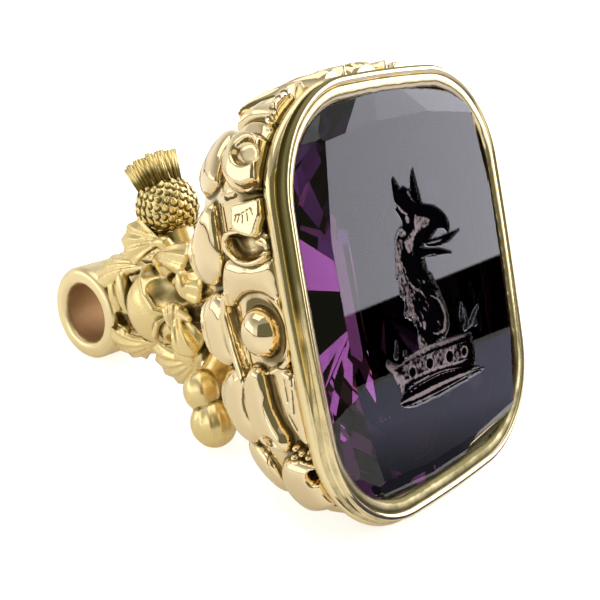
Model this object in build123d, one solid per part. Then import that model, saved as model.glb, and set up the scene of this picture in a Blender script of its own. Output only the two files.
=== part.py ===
from build123d import *
import os
from collections import namedtuple
from math import asin, atan2, cos, degrees, hypot, radians, sin, sqrt

# Antique gold fob seal: an engraved cushion amethyst in a moulded bezel, a scrolled and
# pierced hollow case behind it, a cast floral handle, and a wide barrel ring at the end.
# It is modelled with X across the face, Y up the face and Z out of the face, and the
# bezel's lip lies in the plane Z = 0. At the end it is laid at rest, as such a seal lies
# by itself, on the lower edge of its bezel and on its ring. All sizes are in mm.

# Opening of the bezel, through which the stone shows
opening_width = 20.2
opening_height = 24.0
opening_corner = 4.6
side_bulge = 0.5
end_bulge = 0.6

# Bezel: its width at the long sides and at the ends, and its depth behind the lip
bezel_side = 1.15
bezel_end = 1.75
bezel_depth = 1.2
ridge_height = 0.38
fit_clearance = 0.04

# Stone
lip_overlap = 0.35
girdle_drop = 0.35
girdle_thickness = 0.4
table_height = 0.85
crown_side = 1.8
crown_end = 1.6
table_corner_cut = 2.0
pavilion_depth = 6.6
engraving_depth = 0.35

# Case: how far its wall lies outside the stone's opening, and the room behind the stone
case_side = 0.9
case_end = 1.0
case_corner = 5.4
case_room = 2.65
case_wall = 1.0
case_clearance = 0.03
relief_height = 1.0
bottom_relief_share = 0.12
ring_scroll_radius = 2.0
ring_scroll_wire = 0.42
crescent_radius = 1.7
crescent_wire = 0.38
dimple_radius = 0.75
piercing_radius = 0.32

# Handle
handle_length = 20.9
collar_radius = 4.8
collar_height = 1.8
collar_step = 0.5
stem_radius = 3.6
stem_end_radius = 2.8
leaf_thickness = 1.3
petal_count = 5
petal_length = 3.0
petal_breadth = 2.7
petal_thickness = 1.1
rose_spread = 1.8
rose_heart_radius = 1.3
thistle_rise = 6.7
thistle_lean = 18.0
thistle_radius = 2.4
tuft_length = 2.6
tuft_root_radius = 1.35
tuft_radius = 2.0
flute_count = 12
flute_depth = 0.25
bud_radius = 1.65
bud_cup_radius = 1.85
stalk_radius = 0.8

# Suspension ring
ring_bore_radius = 2.4
ring_wall = 1.45
ring_width = 5.0
ring_rounding = 0.6
ring_drop = 0.8
ring_clearance = 0.05

# Sizes that follow from those above
girdle_width = opening_width + 2 * lip_overlap
girdle_height = opening_height + 2 * lip_overlap
girdle_corner = opening_corner + lip_overlap
girdle_top = -girdle_drop
girdle_low = girdle_top - girdle_thickness
table_width = opening_width - 2 * crown_side
table_length = opening_height - 2 * crown_end
case_width = opening_width + 2 * case_side
case_height = opening_height + 2 * case_end
case_front = bezel_depth + case_clearance
case_depth = pavilion_depth - girdle_low + case_room + case_wall - case_front
handle_front = case_front + case_depth + case_clearance
ring_radius = ring_bore_radius + ring_wall
ring_reach = handle_front + handle_length


def corner_circle(width, height, corner):
    """Where a corner's arc has its centre, and the circles of the long sides and the ends."""
    side_radius = (height / 2) ** 2 / (2 * side_bulge)
    end_radius = (width / 2) ** 2 / (2 * end_bulge)
    side_x = width / 2 - side_radius
    end_y = height / 2 - end_radius
    apart = hypot(side_x, end_y)
    to_side = side_radius - corner
    to_end = end_radius - corner
    along = (to_side**2 - to_end**2 + apart**2) / (2 * apart)
    across = sqrt(to_side**2 - along**2)
    centre_x = side_x - along * side_x / apart - across * end_y / apart
    centre_y = along * end_y / apart - across * side_x / apart
    return centre_x, centre_y, side_x, side_radius, end_y, end_radius


def outline_edges(width, height, corner, z):
    """A cushion outline as eight arcs that meet smoothly, from the right side round."""
    centre_x, centre_y, side_x, _, end_y, _ = corner_circle(width, height, corner)
    side_reach = hypot(centre_x - side_x, centre_y)
    end_reach = hypot(centre_x, centre_y - end_y)
    side = (centre_x + (centre_x - side_x) / side_reach * corner,
            centre_y + centre_y / side_reach * corner)
    end = (centre_x + centre_x / end_reach * corner,
           centre_y + (centre_y - end_y) / end_reach * corner)
    out_x = side[0] + end[0] - 2 * centre_x
    out_y = side[1] + end[1] - 2 * centre_y
    middle = (centre_x + out_x / hypot(out_x, out_y) * corner,
              centre_y + out_y / hypot(out_x, out_y) * corner)
    points = [
        (side[0], -side[1]), (width / 2, 0), side, middle, end, (0, height / 2),
        (-end[0], end[1]), (-middle[0], middle[1]), (-side[0], side[1]),
        (-width / 2, 0), (-side[0], -side[1]), (-middle[0], -middle[1]),
        (-end[0], -end[1]), (0, -height / 2), (end[0], -end[1]), (middle[0], -middle[1]),
        (side[0], -side[1]),
    ]
    at = [(x, y, z) for x, y in points]
    return [Edge.make_three_point_arc(*at[i:i + 3]) for i in range(0, 16, 2)]


def outline_face(width, height, corner, z):
    return Face(Wire(outline_edges(width, height, corner, z)))


def ring_solid(sections):
    """A closed ring through these outlines in turn, with straight walls between them."""
    outlines = [outline_edges(*section) for section in sections]
    faces = []
    for lower, upper in zip(outlines, outlines[1:] + outlines[:1]):
        faces += [Face.make_surface_from_curves(a, b) for a, b in zip(lower, upper)]
    return Solid(Shell(faces))


# The bezel's moulding, once round its section: share of the frame's width out from the
# opening, and height over the lip's plane, as a share of the ridge's height or, below
# the plane, of the bezel's depth
BezelRow = namedtuple("BezelRow", "name share level")
BEZEL_ROWS = [
    BezelRow("back inside", 0.00, -1.00),
    BezelRow("back outside", 0.82, -1.00),
    BezelRow("bead back", 0.97, -0.82),
    BezelRow("bead", 1.00, -0.60),
    BezelRow("bead front", 0.93, -0.36),
    BezelRow("hollow back", 0.66, -0.22),
    BezelRow("hollow front", 0.58, 0.10),
    BezelRow("ridge outside", 0.69, 0.45),
    BezelRow("ridge", 0.64, 0.95),
    BezelRow("ridge inside", 0.52, 1.00),
    BezelRow("groove", 0.46, 0.58),
    BezelRow("land outside", 0.38, 0.76),
    BezelRow("land inside", 0.18, 0.50),
    BezelRow("lip", 0.00, 0.00),
]


def bezel_place(row):
    """Width, height, corner and level of one row of the moulding."""
    width = opening_width + 2 * row.share * bezel_side
    height = opening_height + 2 * row.share * bezel_end
    corner = opening_corner + row.share * (bezel_side + bezel_end) / 2
    level = row.level * (ridge_height if row.level > 0 else bezel_depth)
    return width, height, corner, level


def girdle_reach(angle):
    """How far the girdle reaches out in this direction."""
    across = abs(cos(radians(angle)))
    along = abs(sin(radians(angle)))
    centre_x, centre_y = corner_circle(girdle_width, girdle_height, girdle_corner)[:2]
    round_corner = centre_x * across + centre_y * along + girdle_corner
    return max(round_corner, girdle_width / 2 * across, girdle_height / 2 * along)


def table_reach(angle):
    """How far the table, a rectangle with cut corners, reaches out in this direction."""
    across = abs(cos(radians(angle)))
    along = abs(sin(radians(angle)))
    half_width = table_width / 2
    half_length = table_length / 2
    low_corner = half_width * across + (half_length - table_corner_cut) * along
    high_corner = (half_width - table_corner_cut) * across + half_length * along
    return max(low_corner, high_corner)


def facet_plane(angle, low, high, grow):
    """The plane of a facet that faces this way and passes through two (reach, z) places."""
    out = Vector(cos(radians(angle)), sin(radians(angle)), 0)
    facing = Vector(0, 0, low[0] - high[0]) + out * (high[1] - low[1])
    facing = facing.normalized()
    return Plane(origin=out * low[0] + Vector(0, 0, low[1]) + facing * grow, z_dir=facing)


# Directions of the facets round one quarter of the stone, in degrees from the X axis.
# The crown's facets between the main ones are drawn in a little at the table.
CrownFacet = namedtuple("CrownFacet", "angle draw_in")
CROWN = [
    CrownFacet(0, 0.0),
    CrownFacet(24, 0.12),
    CrownFacet(47, 0.0),
    CrownFacet(70, 0.12),
    CrownFacet(90, 0.0),
]
# Steps of the pavilion, each with its own directions: shares of the pavilion's depth and
# of the girdle's reach, drawn in towards the keel
PavilionStep = namedtuple("PavilionStep", "depth drawn angles")
PAVILION = [
    PavilionStep(0.22, 0.12, (0, 20, 38, 52, 70, 90)),
    PavilionStep(0.58, 0.40, (0, 28, 45, 62, 90)),
    PavilionStep(1.00, 0.93, (0, 20, 45, 70, 90)),
]


def all_round(angles):
    """The angles of one quarter, mirrored round the stone."""
    turns = set()
    for angle in angles:
        turns.update([angle, (180 - angle) % 360, (180 + angle) % 360, -angle % 360])
    return sorted(turns)


def facet_planes(grow):
    """All the planes that the stone is cut by, each moved outwards by this much."""
    planes = [Plane(origin=(0, 0, table_height + grow), z_dir=(0, 0, 1))]
    for facet in CROWN:
        for angle in all_round([facet.angle]):
            low = (girdle_reach(angle), girdle_top)
            high = (table_reach(angle) - facet.draw_in, table_height)
            planes.append(facet_plane(angle, low, high, grow))
    above = PavilionStep(0.0, 0.0, ())
    for step in PAVILION:
        for angle in all_round(step.angles):
            reach = girdle_reach(angle)
            keel = (girdle_height - girdle_width) / 2 * abs(sin(radians(angle)))
            high = (reach - (reach - keel) * above.drawn, girdle_low - pavilion_depth * above.depth)
            low = (reach - (reach - keel) * step.drawn, girdle_low - pavilion_depth * step.depth)
            planes.append(facet_plane(angle, low, high, grow))
        above = step
    return planes


def clipped(faces, plane):
    """A convex body, given as lists of corners, cut off outside the plane."""
    close = 1e-6
    kept = []
    cap = []
    for corners in faces:
        heights = [(corner - plane.origin).dot(plane.z_dir) for corner in corners]
        inside = []
        for i, corner in enumerate(corners):
            following = corners[(i + 1) % len(corners)]
            height = heights[i]
            next_height = heights[(i + 1) % len(corners)]
            if height < close:
                inside.append(corner)
            if abs(height) < close:
                cap.append(corner)
            if min(height, next_height) < -close and max(height, next_height) > close:
                crossing = corner + (following - corner) * (height / (height - next_height))
                inside.append(crossing)
                cap.append(crossing)
        if len(inside) > 2 and min(heights) < -close:
            kept.append(inside)
    rim = []
    for corner in cap:
        if all((corner - other).length > 10 * close for other in rim):
            rim.append(corner)
    if len(rim) > 2:
        middle = sum(rim, Vector(0, 0, 0)) * (1 / len(rim))
        rim.sort(key=lambda p: atan2((p - middle).dot(plane.y_dir), (p - middle).dot(plane.x_dir)))
        kept.append(rim)
    return kept


def stone_body(grow):
    """The cut stone without its engraving, grown outwards by this much."""
    half = girdle_height
    body = Box(2 * half, 2 * half, 2 * half)
    faces = [[Vector(v.X, v.Y, v.Z) for v in face.outer_wire().order_edges().vertices()]
             for face in body.faces()]
    for plane in facet_planes(grow):
        faces = clipped(faces, plane)
    facets = Solid(Shell([Face(Wire.make_polygon(corners, close=True)) for corners in faces]))
    outline = outline_face(
        girdle_width + 2 * grow, girdle_height + 2 * grow, girdle_corner + grow, -half
    )
    return (facets & extrude(outline, 2 * half)).solid()


# The crest in the table, in shares of the table's half length, seen from the front: a
# beaked and eared head in profile on a feathered neck, and a coronet below it
CREST_HEAD = [
    (-0.22, -0.24), (-0.26, -0.02), (-0.29, 0.16), (-0.28, 0.33), (-0.23, 0.44), (-0.21, 0.52),
    (-0.22, 0.68), (-0.12, 0.56), (-0.01, 0.71), (0.02, 0.51), (0.12, 0.46), (0.20, 0.40),
    (0.25, 0.33), (0.24, 0.27), (0.16, 0.32), (0.06, 0.29), (0.02, 0.25), (0.13, 0.23),
    (0.23, 0.16), (0.10, 0.18), (-0.02, 0.16), (-0.04, 0.05), (0.04, -0.04), (0.14, -0.12),
    (0.18, -0.22), (0.08, -0.32), (-0.10, -0.32),
]
CREST_CORONET = [
    (-0.54, -0.30), (-0.40, -0.40), (-0.30, -0.35), (-0.16, -0.41), (0.00, -0.37),
    (0.14, -0.42), (0.30, -0.36), (0.38, -0.58), (0.10, -0.64), (-0.20, -0.65), (-0.48, -0.58),
]


def make_stone():
    stone = stone_body(0.0)
    unit = table_length / 2
    for points in (CREST_HEAD, CREST_CORONET):
        outline = Wire.make_polygon([(x * unit, y * unit, table_height) for x, y in points])
        stone -= extrude(Face(outline), -engraving_depth, dir=(0, 0, 1))
    return stone.solid()


def make_bezel():
    ring = ring_solid([bezel_place(row) for row in BEZEL_ROWS])
    return (ring - stone_body(fit_clearance)).solid()


# The case's sections, from the bezel to the closed back: shares of the case's depth,
# width and height, and of its corner
CaseRow = namedtuple("CaseRow", "depth width height corner")
CASE_ROWS = [
    CaseRow(0.00, 0.985, 0.975, 1.00),
    CaseRow(0.18, 1.000, 0.972, 1.00),
    CaseRow(0.38, 0.985, 0.938, 1.00),
    CaseRow(0.54, 0.930, 0.895, 1.00),
    CaseRow(0.75, 0.850, 0.830, 0.96),
    CaseRow(0.91, 0.680, 0.700, 0.80),
    CaseRow(1.00, 0.460, 0.500, 0.55),
]


def case_sections(inset, reach):
    """Outlines of the case's wall, moved in by this much and reaching this deep."""
    sections = []
    for row in CASE_ROWS:
        width = case_width * row.width - 2 * inset
        height = case_height * row.height - 2 * inset
        corner = case_corner * row.corner - inset * row.corner
        sections.append(outline_face(width, height, corner, -case_front - row.depth * reach))
    return sections


def section_at(depth):
    """Width, height and corner of the case's wall, this far behind the lip's plane."""
    share = (depth - case_front) / case_depth
    for low, high in zip(CASE_ROWS, CASE_ROWS[1:]):
        if share <= high.depth:
            break
    part = (share - low.depth) / (high.depth - low.depth)
    width, height, corner = [low[i] + (high[i] - low[i]) * part for i in (1, 2, 3)]
    return width * case_width, height * case_height, corner * case_corner


def wall_point(side, along, depth):
    """A place on the case's wall. side is "left", "right", "top" or "bottom", and along
    is the distance from the middle of that side."""
    centre_x, centre_y, side_x, side_radius, end_y, end_radius = corner_circle(*section_at(depth))
    corner = section_at(depth)[2]
    if side in ("left", "right"):
        past = abs(along) - centre_y
        reach = side_x + sqrt(side_radius**2 - along**2)
        if past > 0:
            reach = min(reach, centre_x + sqrt(max(corner**2 - past**2, 0.0)))
        return Vector(reach if side == "right" else -reach, along, -depth)
    past = abs(along) - centre_x
    reach = end_y + sqrt(end_radius**2 - along**2)
    if past > 0:
        reach = min(reach, centre_y + sqrt(max(corner**2 - past**2, 0.0)))
    return Vector(along, reach if side == "top" else -reach, -depth)


def wall_plane(side, along, depth):
    """A plane that touches the case's wall: its X runs along the side and its Z points out."""
    step = 0.05
    here = wall_point(side, along, depth)
    run = wall_point(side, along + step, depth) - wall_point(side, along - step, depth)
    back = wall_point(side, along, depth + step) - wall_point(side, along, depth - step)
    out = run.cross(back).normalized()
    if out.dot(Vector(here.X, here.Y, 0)) < 0:
        out = out * -1
    return Plane(origin=here, x_dir=run, z_dir=out)


def lobe(plane, length, breadth, height, turn=0.0):
    """A smooth swelling on a plane, turned about the plane's normal."""
    shape = scale(Sphere(1), by=(length / 2, breadth / 2, height))
    return plane.location * Rot(0, 0, turn) * shape


# Raised work on the case: its place along the side and its depth, its size along and
# across, its height and its turn in degrees. The places and lengths along are shares of
# half the case's height on the long sides, or of half its width on the ends, depths and
# breadths are shares of the case's depth, and heights of the relief's height.
Relief = namedtuple("Relief", "name along depth length breadth height turn")
SIDE_RELIEF = [
    Relief("top leaf", 0.86, 0.30, 0.28, 0.245, 0.55, 0),
    Relief("volute", 0.715, 0.17, 0.31, 0.305, 0.85, 0),
    Relief("fan", 0.50, 0.17, 0.22, 0.325, 0.60, 0),
    Relief("saddle", 0.225, 0.23, 0.25, 0.345, 0.60, 0),
    Relief("boss", 0.01, 0.19, 0.20, 0.255, 1.05, 0),
    Relief("leaf scroll upper", -0.245, 0.27, 0.25, 0.195, 0.70, 8),
    Relief("leaf scroll lower", -0.43, 0.21, 0.26, 0.175, 0.65, 22),
    Relief("knob", -0.545, 0.31, 0.17, 0.10, 0.60, 25),
    Relief("end lobe", -0.69, 0.17, 0.31, 0.295, 0.65, 0),
    Relief("rear shoulder", 0.71, 0.51, 0.32, 0.265, 0.60, 0),
    Relief("rear lobe high", 0.41, 0.61, 0.38, 0.365, 0.90, 0),
    Relief("rear lobe middle", 0.015, 0.63, 0.38, 0.365, 0.95, 0),
    Relief("rear lobe low", -0.37, 0.58, 0.35, 0.345, 0.85, 0),
    Relief("rear heel", -0.71, 0.465, 0.31, 0.265, 0.50, 0),
]
# The top stands prouder than the bottom, on which the seal lies
END_RELIEF = [
    Relief("leaf left", -0.565, 0.17, 0.42, 0.265, 1.00, 0),
    Relief("shell", 0.0, 0.17, 0.44, 0.285, 1.15, 0),
    Relief("leaf right", 0.565, 0.17, 0.42, 0.265, 1.00, 0),
    Relief("rear lobe left", -0.33, 0.53, 0.49, 0.305, 0.70, 0),
    Relief("rear lobe right", 0.33, 0.53, 0.49, 0.305, 0.70, 0),
]
# Single features and drilled holes, as shares in the same way: (along, depth)
ring_scroll_place = (0.01, 0.20)
crescent_place = (0.375, 0.18)
dimple_place = (0.77, 0.16)
SIDE_HOLES = [(0.07, 0.053), (-0.04, 0.05), (0.01, 0.38), (-0.155, 0.425), (-0.66, 0.10)]
END_HOLES = [(-0.28, 0.18), (0.28, 0.18)]


def wall_place(side, along, depth):
    """The wall's plane at a place given in shares."""
    half = case_height / 2 if side in ("left", "right") else case_width / 2
    return wall_plane(side, along * half, case_front + depth * case_depth)


def relief_work(side, rows, share):
    """The lobes of one side. Those on the right are mirrored from the left."""
    half = case_height / 2 if side in ("left", "right") else case_width / 2
    flip = -1 if side == "right" else 1
    return [
        lobe(wall_place(side, row.along, row.depth), row.length * half, row.breadth * case_depth,
             row.height * relief_height * share, row.turn * flip)
        for row in rows
    ]


def scroll_work(side):
    """The ring round the boss and the crescent above it, as round wires."""
    ring = Torus(ring_scroll_radius, ring_scroll_wire)
    crescent = Rot(0, 0, 95) * Torus(crescent_radius, crescent_wire, major_angle=170)
    return [
        wall_place(side, *ring_scroll_place).location * ring,
        wall_place(side, *crescent_place).location * crescent,
    ]


def make_case():
    case = loft(case_sections(0.0, case_depth), ruled=True)
    case += relief_work("left", SIDE_RELIEF, 1.0) + relief_work("right", SIDE_RELIEF, 1.0)
    case += scroll_work("left") + scroll_work("right")
    case += relief_work("top", END_RELIEF, 1.0)
    case += relief_work("bottom", END_RELIEF, bottom_relief_share)
    case -= extrude(outline_face(case_width * 2, case_height * 2, case_corner, -case_front),
                    case_depth)
    case -= loft(case_sections(case_wall, case_depth - case_wall), ruled=True)
    case -= stone_body(fit_clearance)
    cuts = []
    dimple = Pos(0, 0, dimple_radius) * Sphere(dimple_radius)
    hole = Cylinder(piercing_radius, 4 * case_wall)
    for side in ("left", "right"):
        cuts.append(wall_place(side, *dimple_place).location * dimple)
        cuts += [wall_place(side, *place).location * hole for place in SIDE_HOLES]
    for side in ("top", "bottom"):
        cuts += [wall_place(side, *place).location * hole for place in END_HOLES]
    case -= cuts
    return case.solid()


def stem_point(share):
    """A place on the stem's axis, from the case's back at 0 to the ring's centre at 1."""
    return Vector(0, -ring_drop * share, -handle_front - handle_length * share)


def stem_frame(share, around):
    """The directions along the stem, out from it and round it. around is the angle from
    the top of the stem towards its left side, in degrees."""
    along = (stem_point(1) - stem_point(0)).normalized()
    out = Vector(-sin(radians(around)), cos(radians(around)), 0)
    out = (out - along * out.dot(along)).normalized()
    return along, out, along.cross(out)


def stem_surface(share, around):
    out = stem_frame(share, around)[1]
    return stem_point(share) + out * (stem_radius + (stem_end_radius - stem_radius) * share)


def leaf(root, along, facing, length, breadth, thickness):
    """A flat rounded leaf that grows from its root along its length."""
    plane = Plane(origin=root + along * length * 0.4, x_dir=along, z_dir=facing)
    return plane.location * scale(Sphere(1), by=(length / 2, breadth / 2, thickness / 2))


# Leaves on the stem's left side, mirrored to its right: the root's share of the stem and
# angle round it, then the leaf's turn from the way to the ring, its lift off the stem and
# its roll, in degrees, and its size as shares of the handle's length
LeafRow = namedtuple("LeafRow", "name share around turn lift roll length breadth")
LEAF_ROWS = [
    LeafRow("below the thistle", 0.44, 37, 19, 43, -50, 0.29, 0.145),
    LeafRow("beside the thistle", 0.38, 45, 150, 48, -55, 0.21, 0.135),
    LeafRow("over the ring", 0.58, 20, 0, 4, 0, 0.30, 0.145),
    LeafRow("under the ring", 0.62, 150, 0, 0, 0, 0.28, 0.135),
    LeafRow("below the rose", 0.30, 145, 10, 34, 55, 0.29, 0.155),
    LeafRow("above the bud", 0.20, 112, 180, 30, 0, 0.18, 0.135),
    LeafRow("on the collar", 0.16, 60, 180, 12, 0, 0.18, 0.135),
]


def stem_leaf(row):
    along, out, round_it = stem_frame(row.share, row.around)
    turn, lift, roll = radians(row.turn), radians(row.lift), radians(row.roll)
    flat = along * cos(turn) + round_it * sin(turn)
    grows = flat * cos(lift) + out * sin(lift)
    facing = out * cos(lift) - flat * sin(lift)
    facing = facing * cos(roll) + grows.cross(facing) * sin(roll)
    return leaf(stem_surface(row.share, row.around), grows, facing,
                row.length * handle_length, row.breadth * handle_length, leaf_thickness)


rose_share = 0.455
bud_share = 0.18
bud_around = 133
bud_reach = 8.2
bud_cup_share = 0.13
bud_cup_around = 143
bud_cup_reach = 9.4
thistle_share = 0.49


def rose():
    """The rose on the stem's left side: petals round a heart."""
    along, out, round_it = stem_frame(rose_share, 90)
    middle = stem_surface(rose_share, 90)
    petals = []
    for i in range(petal_count):
        turn = radians(90 + 360 / petal_count * i)
        spoke = round_it * sin(turn) + along * cos(turn)
        root = middle + spoke * (rose_spread - petal_length * 0.4)
        petals.append(leaf(root, spoke, out + spoke * 0.5, petal_length, petal_breadth,
                           petal_thickness))
    return petals + [Pos(*middle) * Sphere(rose_heart_radius)]


def stalk(start, end):
    run = end - start
    base = (Align.CENTER, Align.CENTER, Align.MIN)
    return Plane(origin=start, z_dir=run).location * Cylinder(stalk_radius, run.length, align=base)


def bud():
    """A round bud in its cup, on a stalk, on the stem's left side."""
    tip = stem_point(bud_share) + stem_frame(bud_share, bud_around)[1] * bud_reach
    cup = stem_point(bud_cup_share) + stem_frame(bud_cup_share, bud_cup_around)[1] * bud_cup_reach
    return [
        Pos(*tip) * Sphere(bud_radius),
        Pos(*cup) * Sphere(bud_cup_radius),
        stalk(stem_point(bud_share), tip),
    ]


def thistle():
    """The thistle on top of the stem: a round head with a flared, fluted tuft."""
    root = stem_point(thistle_share)
    middle = root + Vector(0, thistle_rise, 0)
    axis = Vector(0, cos(radians(thistle_lean)), -sin(radians(thistle_lean)))
    foot = Plane(origin=middle + axis * thistle_radius * 0.75, z_dir=axis)
    profiles = []
    for rise, radius in ((0.0, tuft_root_radius), (tuft_length, tuft_radius)):
        star = []
        for i in range(2 * flute_count):
            turn = radians(180 / flute_count * i)
            reach = radius - flute_depth * (i % 2)
            star.append((reach * cos(turn), reach * sin(turn), rise))
        profiles.append(Face(Wire.make_polygon(star)))
    tuft = foot.location * loft(profiles, ruled=True)
    return [Pos(*middle) * Sphere(thistle_radius), tuft, stalk(root, middle)]


def make_handle():
    base = (Align.CENTER, Align.CENTER, Align.MIN)
    flare = Cone(collar_radius, stem_radius + collar_step, collar_height, align=base)
    collar = Pos(0, 0, -handle_front) * Rot(180, 0, 0) * flare
    axis = Plane(origin=stem_point(0), z_dir=stem_point(1) - stem_point(0))
    length = (stem_point(1) - stem_point(0)).length
    stem = axis.location * Cone(stem_radius, stem_end_radius, length, align=base)
    growth = rose() + bud() + [stem_leaf(row) for row in LEAF_ROWS]
    growth += [mirror(piece, about=Plane.YZ) for piece in growth]
    handle = collar + stem + growth + thistle()
    seat = Cylinder(ring_radius + ring_clearance, 4 * ring_width)
    handle -= Pos(0, -ring_drop, -ring_reach) * Rot(0, 90, 0) * seat
    room = Box(2 * case_width, 2 * case_height, case_depth, align=base)
    handle -= Pos(0, 0, -handle_front) * room
    return handle.solid()


def make_ring():
    middle = ring_bore_radius + ring_wall / 2
    section = Pos(0, middle) * RectangleRounded(ring_width, ring_wall, ring_rounding)
    ring = revolve(section, Axis.X, 360)
    return (Pos(0, -ring_drop, -ring_reach) * ring).solid()


def rest_tilt():
    """How far the face leans back when the bezel's lower edge and the ring both touch down."""
    tilts = []
    for row in BEZEL_ROWS:
        _, height, _, level = bezel_place(row)
        rise = height / 2 - ring_drop
        reach = level + ring_reach
        tilts.append(degrees(atan2(rise, reach) - asin(ring_radius / hypot(rise, reach))))
    return max(tilts)


PIECES = {
    "stone": make_stone,
    "bezel": make_bezel,
    "case": make_case,
    "handle": make_handle,
    "suspension_ring": make_ring,
}

pieces = {name: make() for name, make in PIECES.items()}
lean = Rot(90 - rest_tilt(), 0, 0)
laid = {name: lean * piece for name, piece in pieces.items()}
box = Compound(list(laid.values())).bounding_box()
to_floor = Pos(-box.center().X, -box.center().Y, -box.min.Z)
os.makedirs("parts", exist_ok=True)
for name, piece in laid.items():
    export_step(to_floor * piece, f"parts/{name}.step")
print("leans back by", round(rest_tilt(), 2), "degrees")
print("size", box.size)
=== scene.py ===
import math

import bmesh
import bpy
import numpy as np
from mathutils import Matrix, Vector


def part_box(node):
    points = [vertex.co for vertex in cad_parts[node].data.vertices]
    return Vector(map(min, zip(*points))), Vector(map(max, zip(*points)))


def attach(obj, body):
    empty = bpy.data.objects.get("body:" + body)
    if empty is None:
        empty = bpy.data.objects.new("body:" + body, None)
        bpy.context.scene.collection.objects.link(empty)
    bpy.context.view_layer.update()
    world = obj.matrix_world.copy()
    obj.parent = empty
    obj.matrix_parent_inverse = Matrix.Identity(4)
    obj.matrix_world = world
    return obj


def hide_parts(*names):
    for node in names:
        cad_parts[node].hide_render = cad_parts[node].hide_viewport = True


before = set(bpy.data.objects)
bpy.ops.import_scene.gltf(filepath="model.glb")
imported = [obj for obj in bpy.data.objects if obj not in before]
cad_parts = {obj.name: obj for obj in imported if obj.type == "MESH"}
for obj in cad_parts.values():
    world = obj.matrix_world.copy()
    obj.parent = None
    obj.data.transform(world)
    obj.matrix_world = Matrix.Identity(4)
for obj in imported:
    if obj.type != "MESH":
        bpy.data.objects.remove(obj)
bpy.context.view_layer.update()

# Antique gold fob seal, lying on the lower edge of its bezel and on its ring. Its pieces are
# shaped in mm in the seal's own frame, with X across the face, Y up the face and Z out of
# the face, and laid() then puts them at rest in the CAD's frame, in metres.

# Sizes of the seal, in mm
OPENING_WIDTH, OPENING_HEIGHT, OPENING_CORNER = 20.2, 24.0, 5.8
SIDE_BULGE, END_BULGE = 0.5, 0.6
BEZEL_SIDE, BEZEL_END, BEAD_LEVEL = 1.15, 1.75, -0.72
TABLE_HEIGHT, PAVILION_DEPTH = 0.85, 6.6
CASE_FRONT, CASE_DEPTH, CASE_WALL = 1.23, 9.77, 1.0
CASE_WIDTH, CASE_HEIGHT, CASE_CORNER = 22.0, 26.0, 5.4
HANDLE_FRONT = CASE_FRONT + CASE_DEPTH + 0.03
RING_DROP, RING_REACH, RING_BORE, RING_RADIUS, RING_WIDTH = 0.8, HANDLE_FRONT + 20.9, 2.4, 3.85, 5.0
MM = 0.001

# The cells that castings are built in, in mm, and the most triangles of a piece
CELL = 0.11
FRONT_FINENESS = 0.82
TIER_TRIANGLES, HANDLE_TRIANGLES = 165000, 195000


def placed(name, data):
    """A new object in the scene."""
    thing = bpy.data.objects.new(name, data)
    bpy.context.scene.collection.objects.link(thing)
    return thing


def heading(angle):
    """The cosine and the sine of an angle in degrees."""
    return math.cos(math.radians(angle)), math.sin(math.radians(angle))


def unit(vector):
    vector = np.array(vector, float)
    return vector / np.sqrt((vector**2).sum())


def rest_matrix():
    """From the seal's own frame in mm to its place at rest in metres."""
    rise = OPENING_HEIGHT / 2 + BEZEL_END - RING_DROP
    reach = BEAD_LEVEL + RING_REACH
    tilt = math.atan2(rise, reach) - math.asin(RING_RADIUS / math.hypot(rise, reach))
    lean = Matrix.Rotation(math.pi / 2 - tilt, 4, "X") @ Matrix.Scale(MM, 4)
    low, high = (Vector(corner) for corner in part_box("suspension_ring"))
    shift = (low + high) / 2 - lean @ Vector((0, -RING_DROP, -RING_REACH))
    return Matrix.Translation(shift) @ lean


AT_REST = rest_matrix()


def laid(points):
    """Points of the seal's own frame, in mm, at rest in metres."""
    turn = np.array(AT_REST)
    return points @ turn[:3, :3].T + turn[:3, 3]


def make_camera():
    """The camera of the photograph, by how the seal lies before it."""
    roll, yaw, pitch = 0.18, 0.819, 0.166
    away = Vector((7.318, 0.851, -61.834))
    turn = (Matrix.Rotation(roll, 3, "Z") @ Matrix.Rotation(pitch, 3, "X")
            @ Matrix.Rotation(yaw, 3, "Y"))
    camera = bpy.data.cameras.new("camera")
    camera.sensor_width = 36.0
    camera.lens = 60.0
    camera.clip_start = 0.001
    holder = placed("camera", camera)
    place = turn.transposed().to_4x4()
    place.translation = -(turn.transposed() @ away)
    place = AT_REST @ place
    holder.matrix_world = Matrix.LocRotScale(place.translation, place.to_quaternion(), None)
    bpy.context.scene.camera = holder


# Casting: metal built up and cut back in a block of small cells, then skinned

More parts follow.
